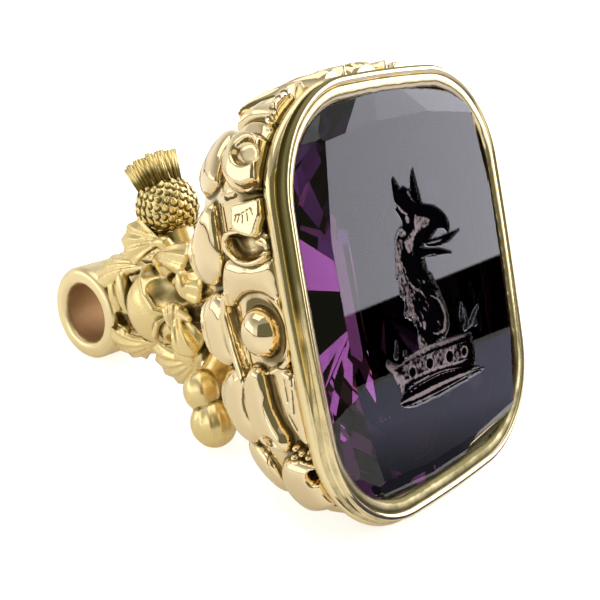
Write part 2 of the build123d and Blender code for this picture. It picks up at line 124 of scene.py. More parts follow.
class Casting:
    """A block of cells that holds how far each lies outside the metal, for the left half of
    the seal. The right half is its mirror image."""

    def __init__(self, low, high, cell=CELL):
        self.cell = cell
        half = int(round(-low[0] / cell))
        self.low = np.array([-half * cell, low[1], low[2]])
        counts = [half + 1] + [int((high[i] - low[i]) / cell) + 2 for i in (1, 2)]
        self.axes = [(start + cell * np.arange(count)).astype(np.float32)
                     for start, count in zip(self.low, counts)]
        self.outside = np.full(counts, 3.0, np.float32)

    def window(self, low, high):
        """The cells within these corners, as slices and coordinates."""
        spans = []
        for axis, start, end in zip(self.axes, low, high):
            first = int(np.clip(np.floor((start - axis[0]) / self.cell), 0, len(axis)))
            last = int(np.clip(np.ceil((end - axis[0]) / self.cell) + 1, 0, len(axis)))
            spans.append(slice(first, last))
        x, y, z = (axis[span] for axis, span in zip(self.axes, spans))
        return tuple(spans), x[:, None, None], y[None, :, None], z[None, None, :]

    def add(self, shape, blend=0.0, side=1):
        """Adds metal. With a blend, in mm, it flows into what is there."""
        low, high, distance = shape
        margin = blend + 2 * self.cell
        spans, x, y, z = self.window(np.array(low) - margin, np.array(high) + margin)
        there = self.outside[spans]
        if there.size:
            self.outside[spans] = side * soft_lower(side * there, distance(x, y, z), blend)

    def cut(self, shape, blend=0.0):
        """Takes metal away."""
        self.add(shape, blend, side=-1)

    def keep(self, distance):
        """Keeps only the metal where distance(x, y, z) is negative."""
        _, x, y, z = self.window(self.low, [axis[-1] for axis in self.axes])
        self.outside = np.maximum(self.outside, distance(x, y, z))


def soft_lower(a, b, blend):
    """The lower of two, rounded off over the blend."""
    if blend <= 0:
        return np.minimum(a, b)
    part = np.clip(0.5 + 0.5 * (b - a) / blend, 0, 1)
    return b + (a - b) * part - blend * part * (1 - part)


def sample(values, at):
    """Values of a block of cells between its cells. at is in cells."""
    at = np.clip(at, 0, np.array(values.shape) - 2 + 0.999)
    base = at.astype(int)
    part = at - base
    total = 0.0
    for corner in range(8):
        offset = np.array([corner & 1, corner >> 1 & 1, corner >> 2])
        share = np.prod(np.where(offset, part, 1 - part), axis=1)
        i, j, k = (base + offset).T
        total = total + share * values[i, j, k]
    return total


def box_mean(values, reach):
    """Each cell's mean over the cells within reach, along each axis in turn."""
    for axis in range(3):
        padded = np.concatenate([np.repeat(np.take(values, [0], axis), reach + 1, axis), values,
                                 np.repeat(np.take(values, [-1], axis), reach, axis)], axis)
        total = np.cumsum(padded, axis=axis, dtype=np.float32)
        ahead = np.take(total, np.arange(2 * reach + 1, total.shape[axis]), axis)
        behind = np.take(total, np.arange(0, total.shape[axis] - 2 * reach - 1), axis)
        values = (ahead - behind) / (2 * reach + 1)
    return values


# How a recess is told from an edge: reach round a place, height over the surface and least
# fill, in mm and shares, and how far narrow recesses count
NARROW_RECESS, WIDE_RECESS, NARROW_SHARE = (0.45, 0.15, 0.25), (1.1, 0.4, 0.24), 0.6
FILL_RANGE = 0.45
# How far a point may move to the metal's end, in cells, and how far out of its own cell
LONGEST_MOVE, CELL_MARGIN = 0.35, 0.1


def skin(casting, wide_share):
    """The casting's surface: its points in mm, its four-sided faces, and how sheltered each
    point is, from 0 on an edge to 1 in a deep recess. Wide recesses count by this share."""
    half = casting.outside
    outside = np.concatenate([half, half[-2::-1]], axis=0)
    inside = outside < 0
    count = np.zeros(np.array(inside.shape) - 1, np.int8)
    for corner in range(8):
        i, j, k = corner & 1, corner >> 1 & 1, corner >> 2
        count += inside[i:i + count.shape[0], j:j + count.shape[1], k:k + count.shape[2]]
    cells = np.argwhere((count > 0) & (count < 8))
    number = np.full(count.shape, -1, np.int32)
    number[tuple(cells.T)] = np.arange(len(cells))
    total = np.zeros((len(cells), 3))
    crossings = np.zeros(len(cells))
    for axis in range(3):
        for side in range(4):
            start, end = (np.insert((side & 1, side >> 1), axis, at) for at in (0, 1))
            a = outside[tuple((cells + start).T)]
            b = outside[tuple((cells + end).T)]
            cross = (a < 0) != (b < 0)
            part = np.where(cross, a / np.where(cross, a - b, 1), 0)
            total += np.where(cross[:, None], start + part[:, None] * (end - start), 0)
            crossings += cross
    points = cells + total / crossings[:, None]
    # Draws the points to where the metal ends
    for _ in range(2):
        slope = np.stack([sample(outside, points + step) - sample(outside, points - step)
                          for step in 0.5 * np.eye(3)], 1)
        steep = np.maximum((slope**2).sum(1), 0.25 * casting.cell**2)
        move = -slope * (sample(outside, points) / steep)[:, None]
        points = points + np.clip(move, -LONGEST_MOVE, LONGEST_MOVE)
        points = np.clip(points, cells - CELL_MARGIN, cells + (1 + CELL_MARGIN))
    faces = []
    for axis in range(3):
        u, v = [(1, 2), (2, 0), (0, 1)][axis]
        low, high = ([slice(1, -1)] * 3 for _ in range(2))
        low[axis], high[axis] = slice(0, -1), slice(1, None)
        a, b = inside[tuple(low)], inside[tuple(high)]
        for turned, mask in ((False, a & ~b), (True, ~a & b)):
            at = np.argwhere(mask) + 1
            at[:, axis] -= 1
            corners = []
            for du, dv in ((-1, -1), (0, -1), (0, 0), (-1, 0)):
                place = at.copy()
                place[:, u] += du
                place[:, v] += dv
                corners.append(number[tuple(place.T)])
            quad = np.stack(corners, 1)
            faces.append(quad[:, ::-1] if turned else quad)
    out = slope / np.maximum(np.sqrt((slope**2).sum(1)), 1e-6)[:, None]
    # How sheltered a point is darkens it later: soil and painted shade in recesses
    shelter = 0
    for recess, share in ((NARROW_RECESS, NARROW_SHARE), (WIDE_RECESS, wide_share)):
        reach, height, least = recess
        around = box_mean(inside.astype(np.float32), max(1, round(reach / casting.cell)))
        filled = sample(around, points + out * height / casting.cell)
        shelter = shelter + share * np.clip((filled - least) / FILL_RANGE, 0, 1)
    return casting.low + points * casting.cell, np.concatenate(faces), np.clip(shelter, 0, 1)


def corners_round(points, reach):
    points = np.array(points, float)
    return points.min(0) - reach, points.max(0) + reach


def oval(centre, radii):
    """An egg shape."""
    radii = np.array(radii, float)

    def distance(x, y, z):
        p = (x - centre[0], y - centre[1], z - centre[2])
        near = np.sqrt(sum((c / r) ** 2 for c, r in zip(p, radii)))
        slope = np.sqrt(sum((c / r**2) ** 2 for c, r in zip(p, radii)))
        return near * (near - 1) / np.maximum(slope, 1e-4)

    return *corners_round([centre], radii.max()), distance


def fluted(middle, radii, flutes, depth):
    """An upright egg with shallow flutes down its sides."""
    low, high, plain = oval(middle, radii)

    def distance(x, y, z):
        turn = np.arctan2(z - middle[2], x - middle[0])
        side = 1 - np.clip(np.abs(y - middle[1]) / radii[1], 0, 1) ** 2
        return plain(x, y, z) + depth * np.cos(flutes * turn) * side

    return low, high, distance


def rod(points, radii):
    """A round wire through these points, with these radii."""
    points, radii = np.array(points, float), np.array(radii, float)

    def distance(x, y, z):
        best = None
        for a, b, ra, rb in zip(points, points[1:], radii, radii[1:]):
            p, run = (x - a[0], y - a[1], z - a[2]), b - a
            part = np.clip(sum(c * r for c, r in zip(p, run)) / (run @ run), 0, 1)
            gap = np.sqrt(sum((c - r * part) ** 2 for c, r in zip(p, run)))
            gap = gap - (ra + (rb - ra) * part)
            best = gap if best is None else np.minimum(best, gap)
        return best

    return *corners_round(points, radii.max()), distance


def smooth_line(points, count, closed=False):
    """A smooth line through these points."""
    points = np.array(points, float)
    n = len(points)
    spans = n if closed else n - 1
    t = np.linspace(0, spans, count, endpoint=not closed)
    i = np.minimum(t.astype(int), spans - 1)
    part = (t - i)[:, None]
    a, b, c, d = (points[(i + k) % n if closed else np.clip(i + k, 0, n - 1)]
                  for k in (-1, 0, 1, 2))
    return 0.5 * (2 * b + (c - a) * part + (2 * a - 5 * b + 4 * c - d) * part**2
                  + (3 * b - a - 3 * c + d) * part**3)


def fan_leaf(root, tip, facing, spread, thickness, arch=0.12, droop=0.10, folds=6, fold=0.13):
    """A cast leaf like a shell: it fans out from its root in folds, with a scalloped edge.
    spread is half its opening, in degrees."""
    root, tip = np.array(root, float), np.array(tip, float)
    length = np.sqrt(((tip - root) ** 2).sum())
    along = (tip - root) / length
    facing = np.array(facing, float)
    facing = unit(facing - along * (facing @ along))
    axes = np.array([along, np.cross(facing, along), facing], np.float32)
    opening = math.radians(spread)

    def distance(x, y, z):
        p = (x - root[0], y - root[1], z - root[2])
        u, v, w = (r[0] * p[0] + r[1] * p[1] + r[2] * p[2] for r in axes)
        reach = np.sqrt(u**2 + v**2) + 1e-4
        turn = np.arctan2(v, u)
        side, share = turn / opening, reach / length
        waves = np.cos(np.pi * folds * side)
        outline = length * (1 - 0.20 * side**2) * (1 + 0.02 * waves)
        middle = arch * length * 4 * share * (1 - share)
        middle = middle - droop * length * np.maximum(share - 0.5, 0) ** 2
        grow = np.clip(share / 0.35, 0, 1)
        middle = middle - 0.16 * length * share * side**2 + fold * grow * waves
        middle = middle + 0.02 * grow * np.cos(3 * np.pi * folds * side + 0.7)
        body = np.abs(w - middle) - thickness / 2 * (1 - 0.35 * np.clip(share, 0, 1))
        edge = np.maximum(reach - outline, (np.abs(turn) - opening) * reach)
        return np.maximum(body * 0.7, edge * 0.75)

    reach = length * max(math.sin(opening), 0.3) + arch * length + thickness
    return *corners_round([root, tip], reach), distance


# The case: its wall, as a distance round the seal's left half and a depth behind the bezel.
# Rows: share of the depth, then of the width, the height and the corner
CASE_ROWS = np.array([
    (0.00, 0.985, 0.975, 1.00), (0.18, 1.000, 0.972, 1.00), (0.38, 0.985, 0.938, 1.00),
    (0.54, 0.930, 0.895, 1.00), (0.75, 0.850, 0.830, 0.96), (0.91, 0.680, 0.700, 0.80),
    (1.00, 0.460, 0.500, 0.55),
])


def cushion(width, height, corner):
    """The circles of a cushion outline: the corner's centre, then the centre and radius of
    the side and of the end."""
    side_radius = (height / 2) ** 2 / (2 * SIDE_BULGE)
    end_radius = (width / 2) ** 2 / (2 * END_BULGE)
    side_x = width / 2 - side_radius
    end_y = height / 2 - end_radius
    apart = np.hypot(side_x, end_y)
    along = ((side_radius - corner) ** 2 - (end_radius - corner) ** 2 + apart**2) / (2 * apart)
    across = np.sqrt((side_radius - corner) ** 2 - along**2)
    centre_x = side_x - along * side_x / apart - across * end_y / apart
    centre_y = along * end_y / apart - across * side_x / apart
    return centre_x, centre_y, side_x, side_radius, end_y, end_radius


def turns_of(circles):
    """Where the corner starts and ends, as turns of the outline's normal."""
    centre_x, centre_y, side_x, _, end_y, _ = circles
    return np.arctan2(centre_y, centre_x - side_x), np.arctan2(centre_x, centre_y - end_y)


WIDEST = cushion(CASE_WIDTH, CASE_HEIGHT * 0.972, CASE_CORNER)
SIDE_TURN, END_TURN = turns_of(WIDEST)
SIDE_RUN = WIDEST[3] * SIDE_TURN
CORNER_RUN = CASE_CORNER * (math.pi / 2 - SIDE_TURN - END_TURN)
ROUND = SIDE_RUN + CORNER_RUN + WIDEST[5] * END_TURN


def on_wall(x, y, depth):
    """Where a place lies on the case's wall: its way round from the middle of the side, to
    ROUND at the middle of the end, and its height over the wall."""
    share = np.clip((depth - CASE_FRONT) / CASE_DEPTH, 0, 1)
    width, height, corner = (np.interp(share, CASE_ROWS[:, 0], CASE_ROWS[:, i]) * size for i, size
                             in ((1, CASE_WIDTH), (2, CASE_HEIGHT), (3, CASE_CORNER)))
    circles = cushion(width, height, corner)
    centre_x, centre_y, side_x, side_radius, end_y, end_radius = circles
    side_turn, end_turn = turns_of(circles)
    x, up = np.abs(x), np.abs(y)
    from_side = np.arctan2(up, x - side_x)
    from_end = np.arctan2(x, up - end_y)
    corner_turn = np.arctan2(up - centre_y, x - centre_x)
    part = np.clip((corner_turn - side_turn) / (math.pi / 2 - side_turn - end_turn), 0, 1)
    at_side = from_side < side_turn
    at_end = ~at_side & (from_end < end_turn)
    way = np.where(at_side, from_side / side_turn * SIDE_RUN,
                   np.where(at_end, ROUND - from_end / end_turn * (ROUND - SIDE_RUN - CORNER_RUN),
                            SIDE_RUN + part * CORNER_RUN))
    over = np.where(at_side, np.hypot(x - side_x, up) - side_radius,
                    np.where(at_end, np.hypot(x, up - end_y) - end_radius,
                             np.hypot(x - centre_x, up - centre_y) - corner))
    lean = np.gradient(np.interp(np.linspace(0, 1, 201), CASE_ROWS[:, 0], CASE_ROWS[:, 1]))
    steep = np.interp(share, np.linspace(0, 1, 201), lean) * CASE_WIDTH / 2 / (CASE_DEPTH / 200)
    return np.where(y < 0, -way, way), over / np.sqrt(1 + steep**2)


def spots(*hundredths):
    """Places of a drawing, as two sizes each in hundredths of a mm."""
    return np.array(hundredths).reshape(-1, 2) / 100


def strokes(*hundredths):
    """Places of a line, each with its half width, as three sizes in hundredths of a mm."""
    return np.array(hundredths).reshape(-1, 3) / 100


def round_outline(middle, reach, turn=0.0):
    """An oval outline."""
    angles = np.linspace(0, 2 * np.pi, 12, endpoint=False)
    c, s = math.cos(turn), math.sin(turn)
    p = np.column_stack([reach[0] * np.cos(angles), reach[1] * np.sin(angles)])
    return np.array(middle) + p @ np.array([[c, s], [-s, c]])


def to_piece(a, b, u, v):
    """How far a place is from a straight piece, and how far along it the nearest spot is."""
    run = (b[0] - a[0]) ** 2 + (b[1] - a[1]) ** 2 + 1e-9
    part = np.clip(((u - a[0]) * (b[0] - a[0]) + (v - a[1]) * (b[1] - a[1])) / run, 0, 1)
    return np.hypot(u - a[0] - (b[0] - a[0]) * part, v - a[1] - (b[1] - a[1]) * part), part


def beside(line, u, v):
    """The distance to a line, and the line's width at its nearest place."""
    best, width = None, None
    for a, b in zip(line, line[1:]):
        gap, part = to_piece(a, b, u, v)
        here = a[2] + (b[2] - a[2]) * part
        if best is None:
            best, width = gap, here
        else:
            nearer = gap < best
            best, width = np.where(nearer, gap, best), np.where(nearer, here, width)
    return best, width


def inside(points, u, v):
    """How far inside a closed outline a place is, and negative outside it."""
    best = None
    odd = np.zeros(np.broadcast_shapes(u.shape, v.shape), bool)
    for a, b in zip(points, np.roll(points, -1, axis=0)):
        gap = to_piece(a, b, u, v)[0]
        best = gap if best is None else np.minimum(best, gap)
        if a[1] != b[1]:
            crossing = (b[0] - a[0]) * (v - a[1]) / (b[1] - a[1]) + a[0]
            odd ^= ((a[1] > v) != (b[1] > v)) & (u < crossing)
    return np.where(odd, best, -best)


class Drawing:
    """Raised work drawn flat: its height over the ground at each place along and across.
    Its forms rise from the base."""

    def __init__(self, low, high, ground, step=0.05, base=-0.3):
        self.low, self.step, self.base = np.array(low, float), step, base
        count = [int((b - a) / step) + 2 for a, b in zip(low, high)]
        self.u = (low[0] + step * np.arange(count[0]))[:, None]
        self.v = (low[1] + step * np.arange(count[1]))[None, :]
        self.height = np.full(count, float(ground))
        # Soil and painted shade: at the feet of forms, in hollows and in cuts
        self.stain_and_shade = np.zeros(count)

    def near(self, points, reach):
        """The part of the drawing round these points."""
        low = np.floor((points.min(0) - reach - self.low) / self.step).astype(int)
        high = np.ceil((points.max(0) + reach - self.low) / self.step).astype(int) + 1
        low = np.maximum(low, 0)
        spans = slice(low[0], max(high[0], 0)), slice(low[1], max(high[1], 0))
        return spans, self.u[spans[0]], self.v[:, spans[1]]

    def swell(self, outline, height, shoulder, base=None, dome=0.0, lean=(0.0, 0.0), sharp=False):
        """A form inside a closed outline, with rounded shoulders."""
        base = self.base if base is None else base
        points = np.array(outline if sharp else smooth_line(outline, 90, closed=True), float)
        spans, u, v = self.near(points, 0.3)
        depth = inside(points, u, v)
        part = np.clip(depth / shoulder, 0, 1)
        middle = points.mean(0)
        form = base + (height - base) * np.sqrt(1 - (1 - part) ** 2)
        form = form + (lean[0] * (u - middle[0]) + lean[1] * (v - middle[1])) * part
        if dome:
            form = form + dome * np.clip(depth / max(depth.max(), 1e-3), 0, 1)
        self.height[spans] = np.maximum(self.height[spans], np.where(depth > 0, form, -9.0))
        # Soil and painted shade round the form's foot
        foot = np.exp(-(((depth + 0.03) / 0.07) ** 2))
        self.stain_and_shade[spans] = np.where(depth > 0.06, 0, np.maximum(self.stain_and_shade[spans], foot))

    def bead(self, middle, reach, height, shoulder, base=None, turn=0.0):
        """A round or oval form."""
        self.swell(round_outline(middle, reach, turn), height, shoulder, base)

    def hollow(self, outline, floor, shoulder, dark=0.0):
        """A hollow inside a closed outline, down to its floor, darkened by dark: painted shade."""
        points = smooth_line(outline, 90, closed=True)
        spans, u, v = self.near(points, 0.1)
        part = np.clip(inside(points, u, v) / shoulder, 0, 1)
        there, stain_and_shade = self.height[spans], self.stain_and_shade[spans]
        sunk = floor + (there - floor) * (1 - np.sqrt(1 - (1 - part) ** 2))
        self.height[spans] = np.where(part > 0, np.minimum(there, sunk), there)
        self.stain_and_shade[spans] = np.where(part > 0, np.maximum(stain_and_shade, dark * part), stain_and_shade)

    def wire(self, line, height, base=None, power=0.5):
        """A rounded ridge along a line of places and half widths."""
        base = self.base if base is None else base
        line = np.array(line, float)
        reach = line[:, 2].max() + 0.1
        line = smooth_line(line, 60)
        spans, u, v = self.near(line[:, :2], reach)
        gap, width = beside(line, u, v)
        share = np.clip(gap / width, 0, 1)
        form = np.where(gap < width, base + (height - base) * (1 - share**2) ** power, -9.0)
        self.stain_and_shade[spans] = np.where(form > self.height[spans], 0, self.stain_and_shade[spans])
        self.height[spans] = np.maximum(self.height[spans], form)

    def groove(self, line, depth):
        """A cut along a line of places and half widths, darkened with soil and painted shade."""
        line = np.array(line, float)
        reach = 2 * line[:, 2].max() + 0.1
        line = smooth_line(line, 40)
        spans, u, v = self.near(line[:, :2], reach)
        gap, width = beside(line, u, v)
        cut = np.exp(-(gap / np.maximum(width, 1e-3)) ** 2)
        self.height[spans] -= depth * cut
        self.stain_and_shade[spans] = np.maximum(self.stain_and_shade[spans], cut)

    def ticks(self, ends, widths, depth):
        """Short cuts, each from one place to the next."""
        for top, low in zip(ends[::2], ends[1::2]):
            self.groove([(*top, widths[0]), (*low, widths[1])], depth)

    def at(self, u, v, stain_and_shade=False):
        """Heights at these places, and how steep the form is there, or their stain."""
        a = np.clip((u - self.low[0]) / self.step, 0, self.height.shape[0] - 1.001)
        b = np.clip((v - self.low[1]) / self.step, 0, self.height.shape[1] - 1.001)
        i, j = a.astype(int), b.astype(int)
        a, b = a - i, b - j
        h = self.stain_and_shade if stain_and_shade else self.height
        h00, h10, h01, h11 = h[i, j], h[i + 1, j], h[i, j + 1], h[i + 1, j + 1]
        value = h00 * (1 - a) * (1 - b) + h10 * a * (1 - b) + h01 * (1 - a) * b + h11 * a * b
        slope_u = ((h10 - h00) * (1 - b) + (h11 - h01) * b) / self.step
        slope_v = ((h01 - h00) * (1 - a) + (h11 - h10) * a) / self.step
        return value, np.hypot(slope_u, slope_v)

    def soften(self):
        """Rounds off the drawing's edges, as polishing does."""
        for axis in (0, 1):
            h = np.take(self.height, [0], axis), self.height, np.take(self.height, [-1], axis)
            h = np.moveaxis(np.concatenate(h, axis), axis, 0)
            self.height = np.moveaxis((h[:-2] + 2 * h[1:-1] + h[2:]) / 4, 0, axis)


def chased_scrolls():
    """The scrolls, lobes and leaves chased in the case's wall: way round, then depth."""
    d = Drawing((-ROUND, 0.9), (ROUND, 11.2), ground=-0.35)
    # Rear tier, from the top down
    d.swell(spots(1360, 620, 1190, 520, 1020, 510, 900, 540, 920, 740, 1040, 870, 1220, 890, 1340,
        780), 0.55, 1.2, dome=0.15)
    d.swell(spots(830, 590, 620, 560, 420, 590, 310, 700, 330, 860, 480, 960, 680, 950, 820, 800),
        0.75, 1.7, dome=0.2)
    d.swell(spots(260, 700, 100, 630, -100, 640, -240, 670, -300, 780, -220, 920, 20, 970, 220,
        900), 0.75, 1.6, dome=0.2)
    d.swell(spots(-270, 560, -460, 540, -660, 540, -800, 620, -810, 780, -660, 910, -440, 890, -290,
        730), 0.7, 1.5, dome=0.2)
    d.swell(spots(-830, 520, -980, 470, -1140, 500, -1240, 620, -1160, 780, -960, 820, -820, 720),
        0.4, 1.2, dome=0.1)
    d.swell(spots(1950, 580, 1720, 530, 1520, 560, 1410, 680, 1490, 840, 1720, 880, 1920, 760), 0.5,
        1.2, dome=0.15)
    d.swell([(ROUND + 2, 5.2), (20.0, 5.6), (19.6, 7.4), (ROUND, 8.8), (ROUND + 2, 8.6)], 0.45, 1.0)
    # Saddle between the volute's scroll and the boss
    d.swell(spots(430, 120, 420, 330, 460, 500, 340, 620, 220, 630, 150, 570, 230, 420, 220, 260,
        140, 130, 280, 100), 0.35, 0.9, lean=(0.12, -0.05))
    # Scroll under the fan: a shallow bowl painted darker as painted shade, with a bright
    # crescent rim
    d.swell(spots(620, 460, 520, 500, 430, 420, 385, 300, 385, 220, 420, 135, 470, 105, 560, 120,
        600, 300), 0.45, 0.3)
    d.hollow(spots(580, 430, 500, 415, 450, 360, 432, 270, 450, 185, 500, 150, 560, 240), -0.25,
        0.45, dark=0.35)
    d.wire(strokes(575, 425, 6, 500, 410, 16, 442, 362, 20, 410, 295, 21, 406, 235, 21, 420, 175,
        19, 450, 125, 6), 0.78, power=0.25)
    d.swell(spots(540, 215, 545, 170, 520, 130, 470, 120, 475, 170, 500, 220), 0.6, 0.35)
    # Fan: a thick plate, cut with fine ticks like lashes
    d.swell(spots(750, 100, 745, 230, 735, 335, 680, 330, 640, 340, 605, 330, 570, 285, 545, 225,
        542, 165, 600, 135, 680, 105), 0.86, 0.22, lean=(-0.22, 0.0))
    d.groove(strokes(676, 290, 3, 684, 232, 4, 700, 188, 4, 714, 150, 2), 0.02)
    d.ticks(spots(669, 278, 643, 287, 668, 254, 632, 270, 670, 229, 628, 230, 680, 201, 638, 194,
        695, 173, 660, 156), (0.06, 0.035), 0.06)
    # Crescent between the fan and the volute
    d.swell(spots(830, 290, 810, 220, 810, 160, 830, 100, 795, 105, 772, 150, 780, 210), 0.8, 0.18)
    # Volute: a thick disc with a drilled bowl, painted a little darker as painted shade
    d.swell(spots(1230, 320, 1190, 430, 1090, 500, 980, 485, 880, 420, 800, 320, 780, 230, 800, 130,
        920, 90, 1100, 110, 1200, 190), 0.35, 0.6)
    d.swell(spots(1095, 220, 1075, 160, 1030, 110, 966, 95, 915, 105, 870, 115, 830, 120, 815, 150,
        812, 220, 840, 285, 894, 335, 959, 365, 1020, 365, 1070, 330, 1095, 275), 0.98, 0.2)
    d.hollow(spots(1045, 185, 1015, 140, 970, 115, 930, 122, 905, 160, 912, 220, 943, 270, 985, 290,
        1020, 280, 1045, 235), 0.42, 0.32, dark=0.15)
    # Leaf above the volute, with a hooked tip, and those over the top
    d.swell(spots(1450, 220, 1390, 340, 1290, 430, 1220, 460, 1230, 360, 1210, 220, 1180, 110, 1260,
        90, 1360, 130), 0.62, 0.5, lean=(-0.08, 0.06))
    for way, depth, radius in ((13.75, 1.55, 0.34), (13.2, 1.35, 0.38), (12.65, 1.3, 0.34)):
        d.bead((way, depth), (radius, radius * 1.2), 0.86, 0.2, 0.3)
    d.ticks(spots(1410, 250, 1360, 290, 1390, 215, 1340, 260, 1360, 195, 1310, 240, 1390, 300, 1330,
        350), (0.05, 0.08), 0.16)
    d.wire(strokes(1210, 110, 6, 1170, 150, 12, 1130, 125, 5), 0.75)
    d.wire(strokes(1490, 130, 12, 1540, 220, 34, 1530, 330, 42, 1440, 420, 38, 1320, 490, 10), 0.95)
    d.swell(spots(1830, 110, 1800, 260, 1700, 400, 1560, 460, 1570, 320, 1620, 180, 1700, 100),
        1.15, 0.6, lean=(0.05, 0.0))
    d.ticks(spots(1760, 220, 1660, 360, 1700, 190, 1620, 320, 1800, 170, 1730, 300), (0.05, 0.08),
        0.13)
    d.wire(strokes(1890, 110, 20, 1890, 240, 34, 1840, 360, 34, 1750, 470, 12), 1.35)
    d.swell([(ROUND + 3, 1.0), (20.2, 1.0), (19.3, 2.2), (19.3, 3.6), (20.2, 4.7), (ROUND + 3,
        5.0)], 1.4, 0.9)
    for way in (20.1, 20.6):
        d.groove([(way, 1.6, 0.07), (way + 0.15, 4.2, 0.10)], 0.2)
    for step in range(8):
        d.bead((4.0 - 0.32 * step, 1.02), (0.12, 0.12), 0.62, 0.09)
    # Boss in its recess, painted dark as painted shade, and the rib round it
    d.wire(strokes(250, 590, 15, 130, 635, 40, 0, 635, 50, -140, 610, 50, -260, 570, 42, -360, 520,
        15), 0.50, power=0.4)
    d.wire(strokes(190, 140, 20, 90, 105, 26, -60, 105, 26, -160, 150, 26, -210, 230, 24, -230, 320,
        12), 0.45)
    d.hollow(spots(200, 450, 220, 350, 190, 260, 110, 200, 0, 180, -110, 200, -175, 260, -195, 340,
        -170, 410, -90, 475, 30, 495, 130, 485), -0.45, 0.3, dark=0.6)
    d.bead((0.0, 3.35), (1.52, 1.35), 1.0, 1.35, -0.45)
    # Long leaf scroll below the boss, the groove beside it and the slivers by the bezel
    d.swell(spots(-200, 430, -220, 360, -320, 345, -430, 340, -530, 305, -610, 260, -690, 270, -730,
        360, -710, 470, -630, 540, -500, 580, -340, 550, -240, 490), 0.62, 0.7, lean=(-0.03, 0.0))
    d.hollow(spots(-620, 420, -690, 430, -730, 370, -700, 300, -630, 330), 0.0, 0.35)
    d.swell(spots(-190, 260, -300, 265, -400, 260, -500, 240, -600, 195, -660, 140, -600, 100, -400,
        100, -240, 120), 0.34, 0.4)
    d.ticks(spots(-260, 190, -390, 195, -320, 150, -460, 170, -460, 210, -560, 170, -230, 140, -300,
        145), (0.04, 0.06), 0.15)
    # Beads between the leaf and the end lobe
    for way, depth, radius in ((-6.75, 2.2, 0.26), (-7.05, 1.85, 0.24), (-7.25, 1.45, 0.22), (-7.35,
        2.45, 0.28), (-6.9, 1.25, 0.2)):
        d.bead((way, depth), (radius, radius), 0.42, radius, -0.1)
    # End lobe with its drilled hole
    d.swell(spots(-750, 290, -800, 370, -920, 430, -1060, 440, -1160, 380, -1160, 240, -1080, 120,
        -930, 95, -800, 95, -755, 180), 0.62, 1.0)
    d.hollow(round_outline((-8.45, 1.35), (0.45, 0.42)), -0.9, 0.16)
    # Bottom end, kept low, because the seal lies on it
    d.swell(spots(-1200, 120, -1210, 280, -1290, 420, -1440, 460, -1560, 360, -1520, 200, -1380,
        100), 0.08, 0.5)
    d.swell(spots(-1600, 100, -1630, 260, -1720, 410, -1860, 450, -1890, 300, -1820, 140), 0.06,
        0.4)
    d.swell([(-ROUND - 3, 1.0), (-20.2, 1.0), (-19.3, 2.4), (-19.5, 3.8), (-20.4, 4.6), (-ROUND - 3,
        4.8)], 0.08, 0.6)
    d.swell(spots(-1400, 560, -1660, 520, -1900, 580, -1940, 760, -1700, 860, -1440, 820, -1320,
        700), 0.02, 0.7)
    d.soften()
    return d


def make_case_tier(front, back, scrolls):
    """One tier of the case, between two depths behind the lip."""
    cell = CELL if front > CASE_FRONT else CELL * FRONT_FINENESS
    casting = Casting((-12.5, -13.6, -back - 0.4), (0.0, 14.4, -front + 0.4), cell)

    def wall(x, y, z):
        x, y, depth = np.broadcast_arrays(x, y, -z)
        way, over = on_wall(x, y, depth)
        raised, steep = scrolls.at(way, depth)
        plain = 1 - np.clip((9.9 - depth) / 0.8, 0, 1)
        metal = over - (raised * (1 - plain) - 0.1 * plain)
        metal = metal / np.sqrt(1 + np.minimum(steep, 3.0) ** 2)
        cavity = np.maximum(over + CASE_WALL, np.maximum(depth - 10.0, 1.0 - depth))
        metal = np.maximum(metal, -cavity)
        return np.maximum(metal, np.maximum(front - depth, depth - back)).astype(np.float32)

    casting.add((casting.low, [axis[-1] for axis in casting.axes], wall))
    return casting


# The handle: one casting of stem, collar, rose, leaves and buds. The thistle's scales and
# its fluted tuft follow as pieces of their own.

THISTLE_HEAD, THISTLE_RADIUS = (0.0, 6.75, -21.8), 2.3
TUFT_FOOT = (0.0, 8.3, -22.1)
TUFT_AXIS = unit((0, 0.95, -0.30))
ROSE = np.array((-1.9, -0.41, -22.6))
BUD, CUP = (-6.1, -5.45, -14.9), (-5.95, -7.75, -14.5)
# Painted shade in the handle's recesses and its dark opening: middle, reach in mm, strength
HANDLE_PAINTED_SHADE = [((-3.25, 0.95, -20.7), 1.75, 0.47), ((-3.6, -0.9, -19.2), 1.4, 0.42),
               ((-2.7, -1.3, -27.0), 1.0, 1.0), ((-4.6, -4.5, -14.0), 0.9, 0.40)]


